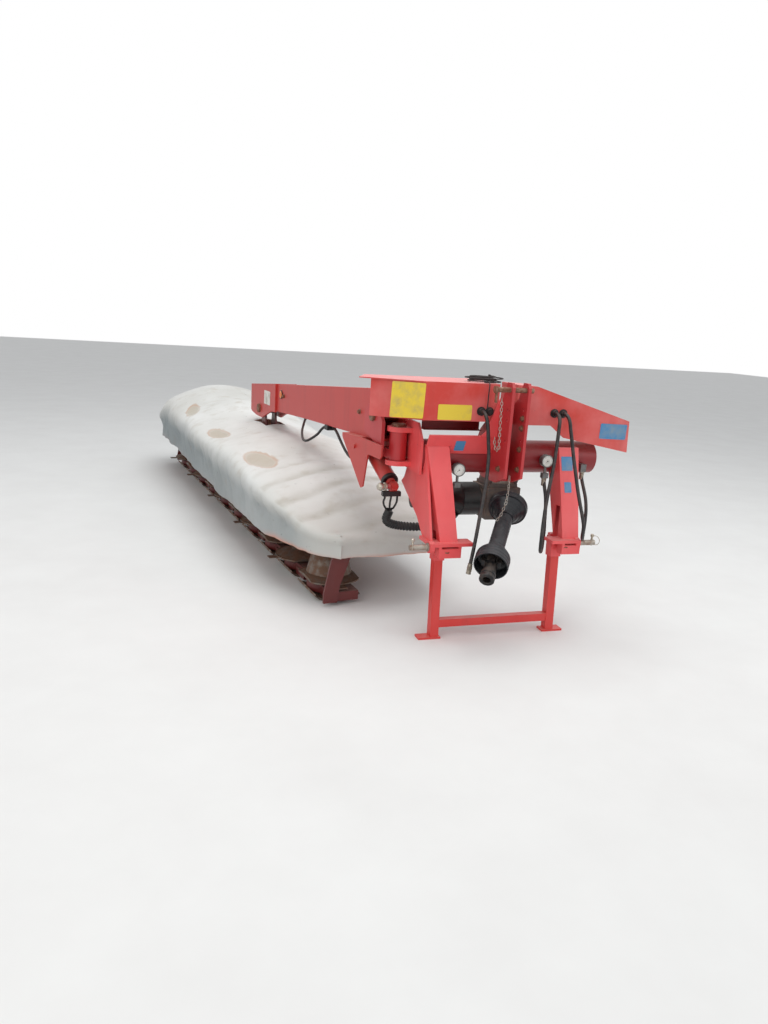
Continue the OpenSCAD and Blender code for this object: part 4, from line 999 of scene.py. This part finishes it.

# %% [markdown]
# ### Coated cloth
# The tarpaulin is a pale coated weave that has gone grey: rain has left brown tide marks round each
# pool, and water runs down the skirts in streaks. Painted shade darkens the troughs of the near end's
# creases, and the skirts carry a cool blue-grey painted shade. The fine weave is two sets of ridges
# across each other on the cloth's own UV map.

# %% Cloth material
def cloth_material(name, main, patchy, skirt_shade_tone, weave_scale=900.0):
    made_material, tree, shader = material(name, main)
    at = node(tree, "TexCoord")
    spot = at.outputs["Object"]
    big, mid = noise_at(tree, spot, 1.6, 4.0), noise_at(tree, spot, 9.0, 4.0)
    tone = tint(tree, ramp(tree, big, .36, .68), main, patchy)
    tone = tint(tree, times(tree, ramp(tree, mid, .52, .72), .35), tone, srgb(190, 184, 172))

    def mask(label):
        return node(tree, "Attribute", attribute_name=label).outputs["Fac"]

    tone = tint(tree, times(tree, mask("near_end"), .55), tone, srgb(190, 188, 180))
    # Painted shade: the crease troughs are tinted darker and warmer.
    hollow = times(tree, mask("hollow"), ramp(tree, mid, .3, .7, .25, .6))
    tone = tint(tree, hollow, tone, srgb(166, 160, 146))
    streaks = noise_at(tree, node(tree, "Mapping", i0=spot, Scale=(14.0, 14.0, 1.6)).outputs[0], 1.0, 3.0)
    # The skirts' cool blue grey is painted shade; the streaks mixed into it are water running down.
    skirt_shade_and_streaks = tint(tree, ramp(tree, streaks, .5, .8, 0, .35), skirt_shade_tone, srgb(112, 118, 118))
    tone = tint(tree, times(tree, mask("skirt"), .85), tone, skirt_shade_and_streaks)
    pool = plus(tree, mask("pool"), times(tree, maths(tree, "SUBTRACT", mid, .5), .35))
    tide = times(tree, ramp(tree, pool, .04, .22), ramp(tree, pool, .30, .55, 1, .25))
    tone = tint(tree, times(tree, ramp(tree, pool, .02, .7), .6), tone, srgb(174, 164, 142))
    tone = tint(tree, times(tree, tide, ramp(tree, big, .42, .60, .1, .6)), tone, srgb(190, 144, 110))
    specks = ramp(tree, noise_at(tree, spot, 34.0, 3.0, .7), .70, .73)
    tone = tint(tree, times(tree, specks, .6), tone, srgb(96, 88, 78))
    tone = tint(tree, times(tree, mask("hem"), .8), tone, srgb(206, 140, 118))
    tree.links.new(tone, shader.inputs["Base Color"])
    tree.links.new(ramp(tree, big, .3, .7, .5, .7), shader.inputs["Roughness"])
    shader.inputs["Specular IOR Level"].default_value = 0.3
    thread = node(tree, "SeparateXYZ", i0=at.outputs["UV"])
    warp = maths(tree, "SINE", times(tree, thread.outputs["X"], weave_scale))
    weft = maths(tree, "SINE", times(tree, thread.outputs["Y"], weave_scale))
    height = plus(tree, times(tree, times(tree, warp, weft), .08), times(tree, mid, 1.0))
    bump(tree, shader, height, 0.0035, 0.5)
    return made_material


# The third colour is the skirts' painted shade.
cloth_top = cloth_material("tarpaulin_cloth", srgb(226, 225, 221), srgb(210, 208, 202), srgb(124, 134, 138))
cloth_under = grimed("tarpaulin_underside", srgb(206, 150, 130), srgb(150, 118, 104), 8, .5, .1, 0, (.7, .9))
sheet_mesh.materials.append(cloth_top)
sheet_mesh.materials.append(cloth_under)
finish_with(cover, "SOLIDIFY", thickness=CLOTH, offset=-1, material_offset=1, material_offset_rim=1)
smooth(cover, 60)
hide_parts("cover")
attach(cover, "unit")
print("cover rests on the hoops")

# %% [markdown]
# ## Blank plates
# Plates and stickers sit on the hood, the wing and the legs of the real machine. On this part every
# one of them is blank: a thin plate with rounded corners, a raised rim and a fine inner frame, in
# the colour of the one it stands for. Each is shaped flat, and its mesh is then laid on four corner
# points, so that it follows the panel it is glued to.

# %% Plate shaper
def plate(name, corners, finish, body, rim=0.003, thick=0.0012):
    """A blank plate from its corners: top left, top right, bottom right and bottom left."""
    tl, tr, br, bl = [Vector(c) for c in corners]
    across, down = (tr - tl + br - bl) / 2, (bl - tl + br - tr) / 2
    w, h = across.length, down.length
    ex = across.normalized()
    ez = ex.cross(-down).normalized()
    ey = ez.cross(ex)
    deselect()
    bpy.ops.mesh.primitive_plane_add(size=1)
    piece = named(name)
    piece.data.transform(Matrix.Diagonal((w, h, 1, 1)))
    pick(piece, lambda v: True, "VERT")
    bpy.ops.mesh.bevel(offset=rim * 2.2, segments=4, affect="VERTICES")
    bpy.ops.mesh.select_all(action="SELECT")
    bpy.ops.mesh.extrude_region_move(TRANSFORM_OT_translate={"value": (0, 0, thick)})
    bpy.ops.mesh.inset(thickness=rim, depth=-thick * 0.35)
    bpy.ops.mesh.inset(thickness=rim * 0.5, depth=0)
    bpy.ops.mesh.inset(thickness=rim * 0.35, depth=thick * 0.2)
    close_edit()
    turn = Matrix((ex, ey, ez)).transposed().to_4x4()
    piece.data.transform(Matrix.Translation((tl + tr + br + bl) / 4) @ turn)
    return keep(piece, body, "red_paint", finish)


SKIN = 0.0004
RAY_FROM = 0.6
hood_face = 0.125 - SKIN
for name, finish, corners in (
        ("blank_plate_tall", plate_yellow, [(-.611, 1.268), (-.442, 1.262), (-.438, 1.095), (-.607, 1.100)]),
        ("blank_plate_wide", plate_yellow, [(-.369, 1.166), (-.192, 1.166), (-.190, 1.092), (-.366, 1.092)]),
        ("blank_plate_wing", plate_blue, [(.541, 1.094), (.700, 1.088), (.700, 1.010), (.541, 1.013)])):
    depth = hood_face if "wing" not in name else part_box("hose_guard")[0][1] - SKIN
    plate(name, [ground(x, depth, z) for x, z in corners], finish, "headstock")
print("plates on the hood and wing")

# %% [markdown]
# ## Plates on the legs
# The legs' front faces lean back by 18 degrees. A ray is cast onto the leg's own mesh to find the
# face, so that the plates lie on it. One more plate lies on the saddle plate before the tube.

# %% Plates on the legs
def surface_of(*names):
    """A search tree of the faces of some CAD nodes, for rays."""
    tree_points, tree_faces = [], []
    for name in names:
        mesh = nodes[name].data
        base = len(tree_points)
        tree_points += [v.co.copy() for v in mesh.vertices]
        tree_faces += [tuple(base + i for i in p.vertices) for p in mesh.polygons]
    return BVHTree.FromPolygons(tree_points, tree_faces)


def touch(tree, at, along):
    """The point where a ray meets the mesh, and the face's normal."""
    hit, normal, _, _ = tree.ray_cast(Vector(at), Vector(along))
    if hit is None:
        raise RuntimeError(f"the ray from {tuple(at)} meets no surface")
    return hit, normal if normal.dot(Vector(along)) < 0 else -normal


def plate_on(name, tree, corners):
    """A small blue plate on the face that rays from the front meet, its corners as (x, height)."""
    laid = []
    for x, z in corners:
        spot, normal = touch(tree, ground(x, -RAY_FROM, z), (0, 1, 0))
        laid.append(spot + normal * SKIN)
    return plate(name, laid, plate_blue, "headstock", rim=.002)


right_leg, saddle = surface_of("leg_right"), surface_of("tube_saddle")
plate_on("blank_plate_leg_upper", right_leg, [(.334, .916), (.398, .916), (.400, .846), (.336, .846)])
plate_on("blank_plate_leg_lower", right_leg, [(.345, .790), (.385, .790), (.386, .738), (.346, .738)])
plate_on("blank_plate_tube", saddle, [(-.258, .990), (-.206, .990), (-.206, .938), (-.258, .938)])
print("plates on the right leg and the saddle plate")

# %% [markdown]
# ## Gauge dials
# Each gauge is a steel can with a rolled bezel over a white dial, and a needle on the dial. The
# bezel is turned, the ticks are one small bar repeated round the dial, and no figures are added.

# %% Gauge dials
GAUGE_R = 0.032
gauges = {"left": ground(-.232, .124, .846), "right": ground(.253, .124, .893)}
FRONT = (0, -1, 0)


def dial_marks(name):
    """Ticks over three quarters of the dial, and the needle, in one mesh."""
    bars = []
    for i in range(19):
        long = i % 3 == 0
        bar = block(f"{name}_{i}", (.0011, .0046 if long else .0026, .0004), bevel=0)
        turn = Matrix.Rotation(math.radians(135 - 15 * i), 4, "Z")
        bar.data.transform(turn @ Matrix.Translation((0, .0232, .0064)))
        bars.append(bar)
    needle = block(name + "_needle", (.0016, .021, .0006), bevel=.0002)
    pick(needle, lambda v: v.co.y > 0, "VERT")
    bpy.ops.transform.resize(value=(.4, 1, 1))
    close_edit()
    turn = Matrix.Rotation(math.radians(128), 4, "Z")
    needle.data.transform(turn @ Matrix.Translation((0, .0075, .0069)))
    hub = turned(name + "_hub", [(.003, .0062), (.003, .0078), (.002, .0084)], 16)
    return join(name, bars + [needle, hub])


for side, spot in gauges.items():
    bezel = turned(f"gauge_bezel_{side}", [
        (GAUGE_R + .001, 0), (GAUGE_R + .001, .0062), (GAUGE_R - .0005, .0078), (.0292, .0078),
        (.0284, .0068), (.0284, .0058), (.0276, .0058)], 48)
    place(smooth(bezel), spot, FRONT)
    keep(bezel, "headstock", "gauge_steel", gauge_rim)
    dial = turned(f"gauge_dial_{side}", [(.0278, .0050), (.0278, .0060), (.0272, .0062)], 48)
    place(smooth(dial), spot, FRONT)
    keep(dial, "headstock", "gauge_steel", dial_white)
    marks = dial_marks(f"gauge_marks_{side}")
    place(marks, spot, FRONT)
    keep(marks, "headstock", "gauge_steel", ink)
print("two gauge dials")

# %% [markdown]
# ## Bolts
# The heads are real hexagons with a turned washer face: a six-sided disc is extruded, its top edge
# is bevelled, and a washer is turned under it. One bolt is modelled, and copies with their own
# meshes go to the mast and the arm.

# %% Bolts
def hex_bolt(name, flats):
    """A hexagon head, flats across the flats, on its washer, along Z."""
    head = turned(name, [(flats * .577, .0022), (flats * .577, flats * .62), (flats * .50, flats * .66)], 6)
    washer = turned(name + "_washer", [(flats * .80, 0), (flats * .80, .0018), (flats * .76, .0022)], 28)
    return join(name, [head, smooth(washer)])


pattern = hex_bolt("bolt_pattern", .019)
mast_spots = [ground(.035, .022, z) for z in (.868, .968, 1.072, 1.119)] + [ground(-.050, .060, .865)]
bolts = {"headstock": [], "arm": []}
for i, spot in enumerate(mast_spots):
    bolts["headstock"].append(place(twin(pattern, f"bolt_{i}"), spot, (-1, 0, 0), roll=.4 * i))


def touching(names, start, along):
    """Where a ray from start meets these nodes, and the face's normal."""
    return touch(surface_of(*names), start, along)


for i, (at_s, z) in enumerate(((1.70, .985), (.36, 1.05))):
    spot, normal = touching(["arm_beam", "arm_end"], on_arm(at_s, RAY_FROM, z), -ARM_LEFT)
    bolts["arm"].append(place(twin(pattern, f"bolt_arm_{i}"), spot, normal, roll=.3 + i))
bpy.data.objects.remove(pattern)
for body, group in bolts.items():
    piece = join(f"bolts_{body}", group)
    keep(piece, body, "pin_steel", pin_rust)
    print(len(group), "bolts on", body)

# %% [markdown]
# ## Marks on the arm's end
# A blank white plate and an amber reflector in its rim sit near the end of the arm. Rays cast from
# the arm's left side find the panels that carry them.

# %% Marks on the arm's end
corners = []
for at_s, z in ((2.13, .985), (1.98, .985), (1.98, .885), (2.13, .885)):
    spot, normal = touching(["arm_end", "arm_beam"], on_arm(at_s, RAY_FROM, z), -ARM_LEFT)
    corners.append(spot + normal * SKIN)
plate("blank_plate_arm_end", corners, plate_white, "arm", rim=.004)
spot, normal = touching(["arm_beam", "arm_end"], on_arm(1.76, RAY_FROM, .99), -ARM_LEFT)
reflector_rim = turned("reflector_rim", [(.030, 0), (.030, .006), (.027, .007), (.0265, .005)], 40)
place(smooth(reflector_rim), spot, normal)
keep(reflector_rim, "arm", "black_plastic", drum_black)
lens = turned("reflector_lens", [(.0262, .0045), (.0262, .0072), (.022, .0086), (.012, .0096)], 40)
place(smooth(lens, 60), spot, normal)
keep(lens, "arm", "black_plastic", amber)
print("plate and reflector on the arm")

# %% [markdown]
# ## Chains
# The top link pin's handle is tied to the mast by a short chain, and a second chain holds the drive
# shaft's guard from turning. One link is a ring that is pulled out to an oval; each next link is
# turned by a quarter. The first chain hangs straight and turns up again in a small loop at its foot,
# and the second hangs slack from the mast to the guard.

# %% Chains
LINK_PITCH, LINK_WIRE = .0150, .0030


def link_pattern():
    deselect()
    bpy.ops.mesh.primitive_torus_add(major_radius=.0052, minor_radius=LINK_WIRE / 2,
                                     major_segments=14, minor_segments=8)
    link = named("link_pattern")
    for side in (1, -1):
        pick(link, lambda v, side=side: v.co.x * side > .0001, "VERT")
        bpy.ops.transform.translate(value=(.0034 * side, 0, 0))
        close_edit()
    return smooth(link, 60)


def chain(name, route, body):
    """Links along a route of points, each next one turned by a quarter."""
    path = [Vector(p) for p in route]
    pattern = link_pattern()
    spans = [(b - a).length for a, b in zip(path, path[1:])]
    total, links = sum(spans), []
    for i in range(int(total / LINK_PITCH)):
        walk, leg = (i + .5) * LINK_PITCH, 0
        while walk > spans[leg]:
            walk -= spans[leg]
            leg += 1
        along = (path[leg + 1] - path[leg]).normalized()
        link = twin(pattern, f"{name}_{i}")
        turn = along.to_track_quat("X", "Z") @ Quaternion((1, 0, 0), math.pi / 2 * (i % 2) + .3)
        link.data.transform(Matrix.Translation(path[leg] + along * walk) @ turn.to_matrix().to_4x4())
        links.append(link)
    bpy.data.objects.remove(pattern)
    piece = join(name, links)
    keep(piece, body, "pin_steel", chain_steel)
    print(name, len(links), "links,", round(total, 3), "m")


def sagging(start, end, drop, steps=10):
    """Points between two ends, lower in the middle."""
    a, b = Vector(start), Vector(end)
    parts = [i / steps for i in range(steps + 1)]
    return [a.lerp(b, part) - Vector((0, 0, drop * 4 * part * (1 - part))) for part in parts]


chain_steel = grimed("chain_steel", srgb(176, 170, 162), srgb(120, 88, 66), 60, .4, .2, .6, (.35, .7), .0002)
hung = sagging(ground(-.100, -.006, 1.214), ground(-.092, -.006, .978), .0) + [
    ground(*p) for p in ((-.098, -.006, .968), (-.108, -.004, .975), (-.114, -.002, .995), (-.116, 0, 1.030))]
chain("pin_chain", hung, "headstock")
chain("guard_chain", [ground(*p) for p in (
    (-.012, .010, .840), (-.008, .012, .766), (-.010, .020, .700), (-.030, .022, .640),
    (-.052, .020, .610))], "headstock")

# %% [markdown]
# ## Linch pins and clips
# Each lower hitch pin is held by a linch pin with a sprung ring, through its cross hole, and the
# stand's legs by pins with a hooked end in their sleeves. The ring and the hooks are wires, so a
# small disc is spun round a centre and its end is extruded straight.

# %% Linch pins and clips
def bent(name, wire, legs, bend, angle, steps=12):
    """A round wire: straight up, round a bend, and straight again."""
    deselect()
    bpy.ops.mesh.primitive_circle_add(vertices=12, radius=wire / 2, fill_type="NGON")
    piece = named(name)
    piece.data.transform(Matrix.Translation((bend, 0, -legs[0])))
    pick(piece, lambda f: True)
    bpy.ops.mesh.extrude_region_move(TRANSFORM_OT_translate={"value": (0, 0, legs[0])})
    bpy.ops.mesh.spin(steps=steps, angle=angle, center=(0, 0, 0), axis=(0, 1, 0))
    if legs[1]:
        direction = Vector((0, 0, 1))
        direction.rotate(Quaternion((0, 1, 0), -angle))
        bpy.ops.mesh.extrude_region_move(TRANSFORM_OT_translate={"value": tuple(direction * legs[1])})
    close_edit()
    return smooth(piece, 40)


def linch_pin(name, spot, lean, ring_turn):
    shank = turned(name, [(.0030, -.034), (.0050, -.030), (.0050, .012), (.0088, .014), (.0096, .019),
                          (.0088, .025), (.0050, .028)], 20)
    ring = bent(name + "_ring", .0036, (.001, 0), .0235, math.radians(344), 30)
    ring.data.transform(Matrix.Translation((-.0185, 0, -.002)) @ Matrix.Rotation(lean, 4, "Y"))
    piece = join(name, [smooth(shank), ring])
    piece.data.transform(Matrix.Translation(Vector(spot)) @ Matrix.Rotation(ring_turn, 4, "Z"))
    keep(piece, "headstock", "pin_steel", zinc)


linch_pin("linch_pin_left", ground(-.4938, 0, .507), math.radians(-38), math.radians(70))
linch_pin("linch_pin_right", ground(.4938, 0, .507), math.radians(-62), math.radians(125))

for i, (x, lean) in enumerate(((-.333, 20), (.318, -25))):
    clip = bent(f"stand_clip_{i}", .0056, (.062, .030), .013, math.radians(180))
    head = turned(f"stand_clip_head_{i}", [
        (.0050, -.0640), (.0072, -.0620), (.0072, -.0560), (.0050, -.0540)], 16)
    head.data.transform(Matrix.Translation((.013, 0, 0)))
    clip = join(f"stand_clip_{i}", [clip, smooth(head)])
    clip.data.transform(Matrix.Rotation(math.radians(lean), 4, "X")
                        @ Matrix.Rotation(math.radians(90), 4, "X"))
    clip.data.transform(Matrix.Translation(ground(x + .012, -.016, .470)))
    keep(clip, "headstock", "pin_steel", pin_rust)
print("linch pins and clips")

# %% [markdown]
# ## Ribs of the drive shaft's guard
# The black guard is moulded with fine ribs round its cones and bellows near them. Rays cast towards
# the shaft's axis give the guard's radius at each place, and a ring is set there: one ring is a
# torus, flattened and scaled, and the rest are copies.

# %% Ribs of the guard
shaft_start, shaft_end = ground(.091, .182, .649), ground(-.190, -.220, .410)
shaft_axis = (shaft_end - shaft_start).normalized()
shaft_run = (shaft_end - shaft_start).length
guard_tree = surface_of("pto_guard")
shaft_side = shaft_axis.cross(Vector((0, 0, 1))).normalized()


def guard_radius(t):
    centre = shaft_start + shaft_axis * t
    hit = guard_tree.ray_cast(centre + shaft_side * .3, -shaft_side)[0]
    return (hit - centre).dot(shaft_side) if hit else 0.0


def rib(name, radius, wire):
    deselect()
    bpy.ops.mesh.primitive_torus_add(major_radius=radius, minor_radius=wire,
                                     major_segments=56, minor_segments=8)
    ring = named(name)
    pick(ring, lambda v: True, "VERT")
    bpy.ops.transform.resize(value=(1, 1, 1.5))
    close_edit()
    return smooth(ring, 60)


RIB_PLACES, PAST_ENDS = 34, .060
ribs = []
for i in range(RIB_PLACES):
    t = -PAST_ENDS + i * (shaft_run + 2 * PAST_ENDS) / (RIB_PLACES - 1)
    radius = guard_radius(t)
    if radius > .036:
        ring = rib(f"rib_{i}", radius + .0002, .0014 if radius > .045 else .0010)
        ribs.append(place(ring, shaft_start + shaft_axis * t, shaft_axis))
guard_ribs = join("guard_ribs", ribs)
keep(guard_ribs, "headstock", "black_plastic", cone_black)
print(len(ribs), "ribs on the guard")

# %% [markdown]
# ## Hose ferrules
# Each hose ends in a crimped steel ferrule and a hexagon nut where it meets its port. The ferrule
# is turned, with crimp grooves, and follows the hose's last stretch.

# %% Hose ferrules
def ferrule(name, end, along, size=HOSE):
    """A crimped sleeve behind a hexagon nut, its mouth at the end of a hose."""
    r = size * .66
    sleeve = turned(name, [
        (r * .86, 0), (r, .002), (r, .008), (r * .93, .009), (r * .93, .011), (r, .012), (r, .018),
        (r * .93, .019), (r * .93, .021), (r, .022), (r, .030), (r * .8, .032)], 28)
    nut = turned(name + "_nut", [(r * .98, .032), (r * 1.14, .034), (r * 1.14, .044), (r * .98, .046)], 6)
    piece = join(name, [smooth(sleeve, 30), nut])
    return place(piece, Vector(end) - Vector(along).normalized() * .040, along)


for name, route in (("middle", hose_middle_route), ("right", hose_right_route)):
    end, before = Vector(route[-1]), Vector(route[-2])
    keep(ferrule(f"ferrule_{name}", end, end - before), "headstock", "pin_steel", coupler_metal)
print("two ferrules")

# %% [markdown]
# ## Hoses under the arm
# Two hoses run under the arm. Both leave a clip block on its underside: one hangs in a loop and
# goes back up to the arm's far half, the other dips behind the bracket. Their ends are held by the
# arm, so both move with it and sag between their ends. The clip block and the places of the ends are
# guesses. The loop hangs higher than in the photograph, because the cover rises there as the unit
# tilts.

# %% Hoses under the arm
THIN_HOSE = .016
clip = block("arm_hose_clip", (.052, .060, .030), bevel=.004)
pick(clip, lambda f: abs(f.normal.z) > .9 and f.area > .001)
bpy.ops.mesh.inset(thickness=.006, depth=-.002)
close_edit()
with_arm = Matrix.Rotation(math.atan2(ARM_AXIS.y, ARM_AXIS.x), 4, "Z")
clip.data.transform(Matrix.Translation(on_arm(.836, .046, .893)) @ with_arm)
keep(clip, "arm", "black_rubber", drum_black)


def arm_route(points):
    return [on_arm(at_s, side, z) for at_s, side, z in points]


loop_route = arm_route([
    (.862, .054, .893), (.872, .054, .893), (.888, .057, .891), (.905, .064, .882), (.918, .074, .866),
    (.929, .088, .842), (.942, .106, .822), (.960, .122, .805), (.985, .134, .791), (1.015, .138, .784),
    (1.050, .136, .782), (1.100, .126, .784), (1.170, .106, .791), (1.250, .080, .801), (1.330, .050, .812),
    (1.400, .020, .824), (1.455, -.004, .836), (1.495, -.024, .846), (1.523, -.038, .856),
    (1.541, -.046, .8635), (1.549, -.0495, .8672)])
dip_route = arm_route([
    (.810, .038, .893), (.800, .038, .893), (.784, .038, .891), (.762, .038, .884), (.735, .038, .870),
    (.700, .038, .848), (.660, .038, .824), (.620, .038, .802), (.580, .038, .784), (.545, .037, .772),
    (.515, .035, .767), (.490, .032, .770), (.470, .028, .780), (.458, .024, .795), (.452, .020, .815),
    (.450, .018, .840), (.450, .018, .852)])
for name, route in (("arm_hose_loop", loop_route), ("arm_hose_dip", dip_route)):
    hose, length = cord_curve(name, route, THIN_HOSE, hose_rubber)
    keep(hose, "arm", "black_rubber")
    end, before = Vector(route[-1]), Vector(route[-2])
    sleeve = keep(ferrule(f"{name}_ferrule", end, end - before, THIN_HOSE), "arm", "pin_steel", coupler_metal)
    print(name, round(length, 3), "m")

# %% [markdown]
# ## The arm hoses' ends
# A hose of wire-braided rubber still bends by hand. Both ends are held, and the far end is the fitting
# that it screws into.

print("arm hoses in place")

# %% [markdown]
# ## Collar of the drive shaft
# The yoke's end carries a locking collar that slides on the shaft's end. It is turned, with two
# grips and a bore in front. The photograph shows it small and dark, so its profile is a guess.

# %% Collar of the drive shaft
COLLAR_R = .037
collar = turned("shaft_collar", [
    (COLLAR_R * .86, -.034), (COLLAR_R, -.030), (COLLAR_R, -.018), (COLLAR_R * .92, -.016),
    (COLLAR_R * .92, -.010), (COLLAR_R, -.008), (COLLAR_R, .008), (COLLAR_R * .9, .012),
    (.022, .012), (.0190, .009), (.0190, -.020)], 40)
place(smooth(collar, 30), shaft_end + shaft_axis * .020, shaft_axis)
keep(collar, "pto_drive", "black_plastic", shaft_black)
print("collar")

# %% [markdown]
# ## Knuckle
# The knuckle turns on the swing pin and carries the arm between two cheeks. Seen from the left, the
# lift cylinder's lower end has no cheek before it, so the outer cheek is taken to end above the
# cylinder. The CAD part has a longer cheek there. Its mesh is copied and cut by planes for this: what
# lies inside the outer cheek stays as it is, and the cheek is trimmed under its upper lobe.

# %% Knuckle
OUTER_CHEEK, CHEEK_END = .0695, .905


def cut(piece, point, normal):
    """Cuts the piece by a plane, drops what lies on the normal's side and closes the cut."""
    pick(piece, lambda f: True)
    bpy.ops.mesh.bisect(plane_co=tuple(point), plane_no=tuple(normal), use_fill=True, clear_outer=True)
    close_edit()
    return piece


whole = nodes["knuckle"]
inner, outer = (twin(whole, f"knuckle_{part}") for part in ("inner", "outer"))
for part in (inner, outer):
    part.parent = None
    part.data.transform(whole.matrix_world)
    part.matrix_world = Matrix.Identity(4)
    part.hide_render = part.hide_viewport = False
cheek_plane = on_arm(0, OUTER_CHEEK, 1)
cut(inner, cheek_plane, ARM_LEFT)
cut(outer, cheek_plane, -ARM_LEFT)
cut(outer, on_arm(.02, 0, CHEEK_END), Vector((0, 0, -1)) + ARM_AXIS * .28)
knuckle = join("knuckle_cut", [inner, outer])
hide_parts("knuckle")
keep(knuckle, "swing", "red_paint", mast_shade_paint)
print("knuckle with a short outer cheek:", len(knuckle.data.polygons), "faces")

# %% [markdown]
# ## Lift cylinder's lower end
# The barrel's lower end gets a black ring, and its pin a rounded steel end. Both are turned. The
# photograph shows this end small and partly hidden, so their forms are guesses.

# %% Lift cylinder's lower end
CYL_FOOT = on_arm(-.020, .022, .715)
cyl_along = (on_arm(.300, .022, .872) - CYL_FOOT).normalized()
gland = turned("cylinder_gland", [(.0435, 0), (.0445, .002), (.0445, .020), (.0435, .022)], 48)
place(smooth(gland), CYL_FOOT + cyl_along * .038, cyl_along)
keep(gland, "cylinder_barrel", "black_plastic", drum_black)
pin_end = turned("cylinder_pin_end", [
    (.0150, .040), (.0215, .040), (.0215, .050), (.0150, .052), (.0150, .060), (.0200, .063),
    (.0215, .070), (.0190, .080), (.0120, .087), (.0050, .089)], 32)
place(smooth(pin_end, 50), CYL_FOOT, ARM_LEFT)
keep(pin_end, "swing", "pin_steel", zinc)
print("gland and pin end")

# %% [markdown]
# ## Hood's stiffener
# Under the hood an upright plate closes the gap over the cross tube, with a lip folded forward at
# its foot. Plate and lip are two thin boxes, joined and bevelled together. The photograph shows only
# a dark closed band there, so this plate is a guess, and it is painted in the cross tube's deepest
# red as a dark sheet of painted shade under the hood.

# %% Hood's stiffener
STIFFENER_W, SHEET = .315, .005
shade_stiffener = block("hood_stiffener", (STIFFENER_W, SHEET, .245), bevel=0)
pick(shade_stiffener, lambda v: v.co.z < 0, "VERT")
bpy.ops.transform.translate(value=(0, 0, .004))
close_edit()
lip = block("hood_stiffener_lip", (STIFFENER_W, .040, SHEET), bevel=0)
lip.data.transform(Matrix.Translation((0, -.0175, -.1185)))
shade_stiffener = join("hood_stiffener", [shade_stiffener, lip])
finish_with(shade_stiffener, "BEVEL", width=.0012, segments=2, limit_method="ANGLE")
shade_stiffener.data.transform(Matrix.Translation(ground(-.222, .300, 1.143)))
# The plate's deep red is painted shade for the dark band under the hood.
keep(shade_stiffener, "headstock", "red_paint", tube_shade_paint)
print("shade_stiffener")

# %% [markdown]
# ## Hose loom
# Three thin hoses leave a block under the lift cylinder's foot and run into a ribbed loom, which
# passes behind the left leg to the drum under the tube. The block swings with the knuckle and the
# loom stays on the headstock, so the thin hoses bend between the two. The loom's ribs are rings
# set along its line. The block and the loom's way behind the leg are guesses.

# %% Hose block and loom
LOOM, SLIM_HOSE = .040, .011
hose_block = block("hose_block", (.100, .030, .026), bevel=.003)
pick(hose_block, lambda f: f.normal.z < -.9 and f.area > .0005)
bpy.ops.mesh.inset(thickness=.004, depth=-.0015)
close_edit()
hose_block.data.transform(Matrix.Translation(ground(-.500, .350, .676)))
keep(hose_block, "swing", "pin_steel", drum_black)

loom_route = [ground(*p) for p in (
    (-.472, .446, .560), (-.477, .447, .545), (-.484, .449, .528), (-.485, .451, .511), (-.476, .452, .497),
    (-.458, .453, .487), (-.434, .453, .480), (-.405, .452, .475), (-.372, .450, .471), (-.336, .447, .469),
    (-.300, .443, .469), (-.264, .438, .473), (-.230, .430, .480), (-.200, .420, .491), (-.174, .408, .505),
    (-.153, .394, .522), (-.140, .380, .540), (-.133, .368, .556), (-.130, .360, .5685))]
loom, loom_length = cord_curve("hose_loom", loom_route, LOOM, hose_rubber)
keep(loom, "headstock", "black_rubber")
rings = []
for i, (a, b) in enumerate(zip(loom_route, loom_route[1:])):
    for part in (.25, .75):
        ring = rib(f"loom_rib_{i}_{part}", LOOM / 2 + .0008, .0036)
        rings.append(place(ring, a.lerp(b, part), b - a))
loom_ribs = keep(join("loom_ribs", rings), "headstock", "black_rubber", drum_black)
print("loom", round(loom_length, 3), "m,", len(rings), "ribs")

# %% [markdown]
# ### Thin hoses
# Each is a round tube along its own line, turned into a mesh, from the block to the loom. Where they
# start under the block is out of sight and is a guess.

# %% Thin hoses
def walk_along(points, steps=8):
    """Points along the smooth curve through a route."""
    points, left, right = set_handles(points)
    path = [points[0]]
    for i in range(len(points) - 1):
        path += interpolate_bezier(points[i], right[i], left[i + 1], points[i + 1], steps + 1)[1:]
    return path


mouth = Vector(loom_route[0])
for i, (top_x, bow) in enumerate(((-.534, -.006), (-.500, .004), (-.466, .012))):
    top = Vector(ground(top_x, .350, .6635))
    low = mouth + Vector((-.010 + .010 * i, -.003, .002))
    route = [top, top - Vector((0, 0, .012)), top + Vector((bow * .25, .010, -.030))]
    for part in (.35, .5, .65, .8):
        belly = math.sin(math.pi * part)
        route.append(route[2].lerp(low, part) + Vector((bow * belly * .8, .012 * belly, 0)))
    route += [low + Vector((0, -.001, .010)), low]
    thin, length = cord_curve(f"thin_hose_{i}", route, SLIM_HOSE, hose_rubber, resolution=6)
    only(thin)
    bpy.ops.object.convert(target="MESH")
    thin = smooth(named(f"thin_hose_{i}"), 60)
    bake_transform(thin)
    [tuple(p) for p in walk_along(route)]
    print("thin hose", i, round(length, 3), "m")

# %% [markdown]

# %% End
print("done")
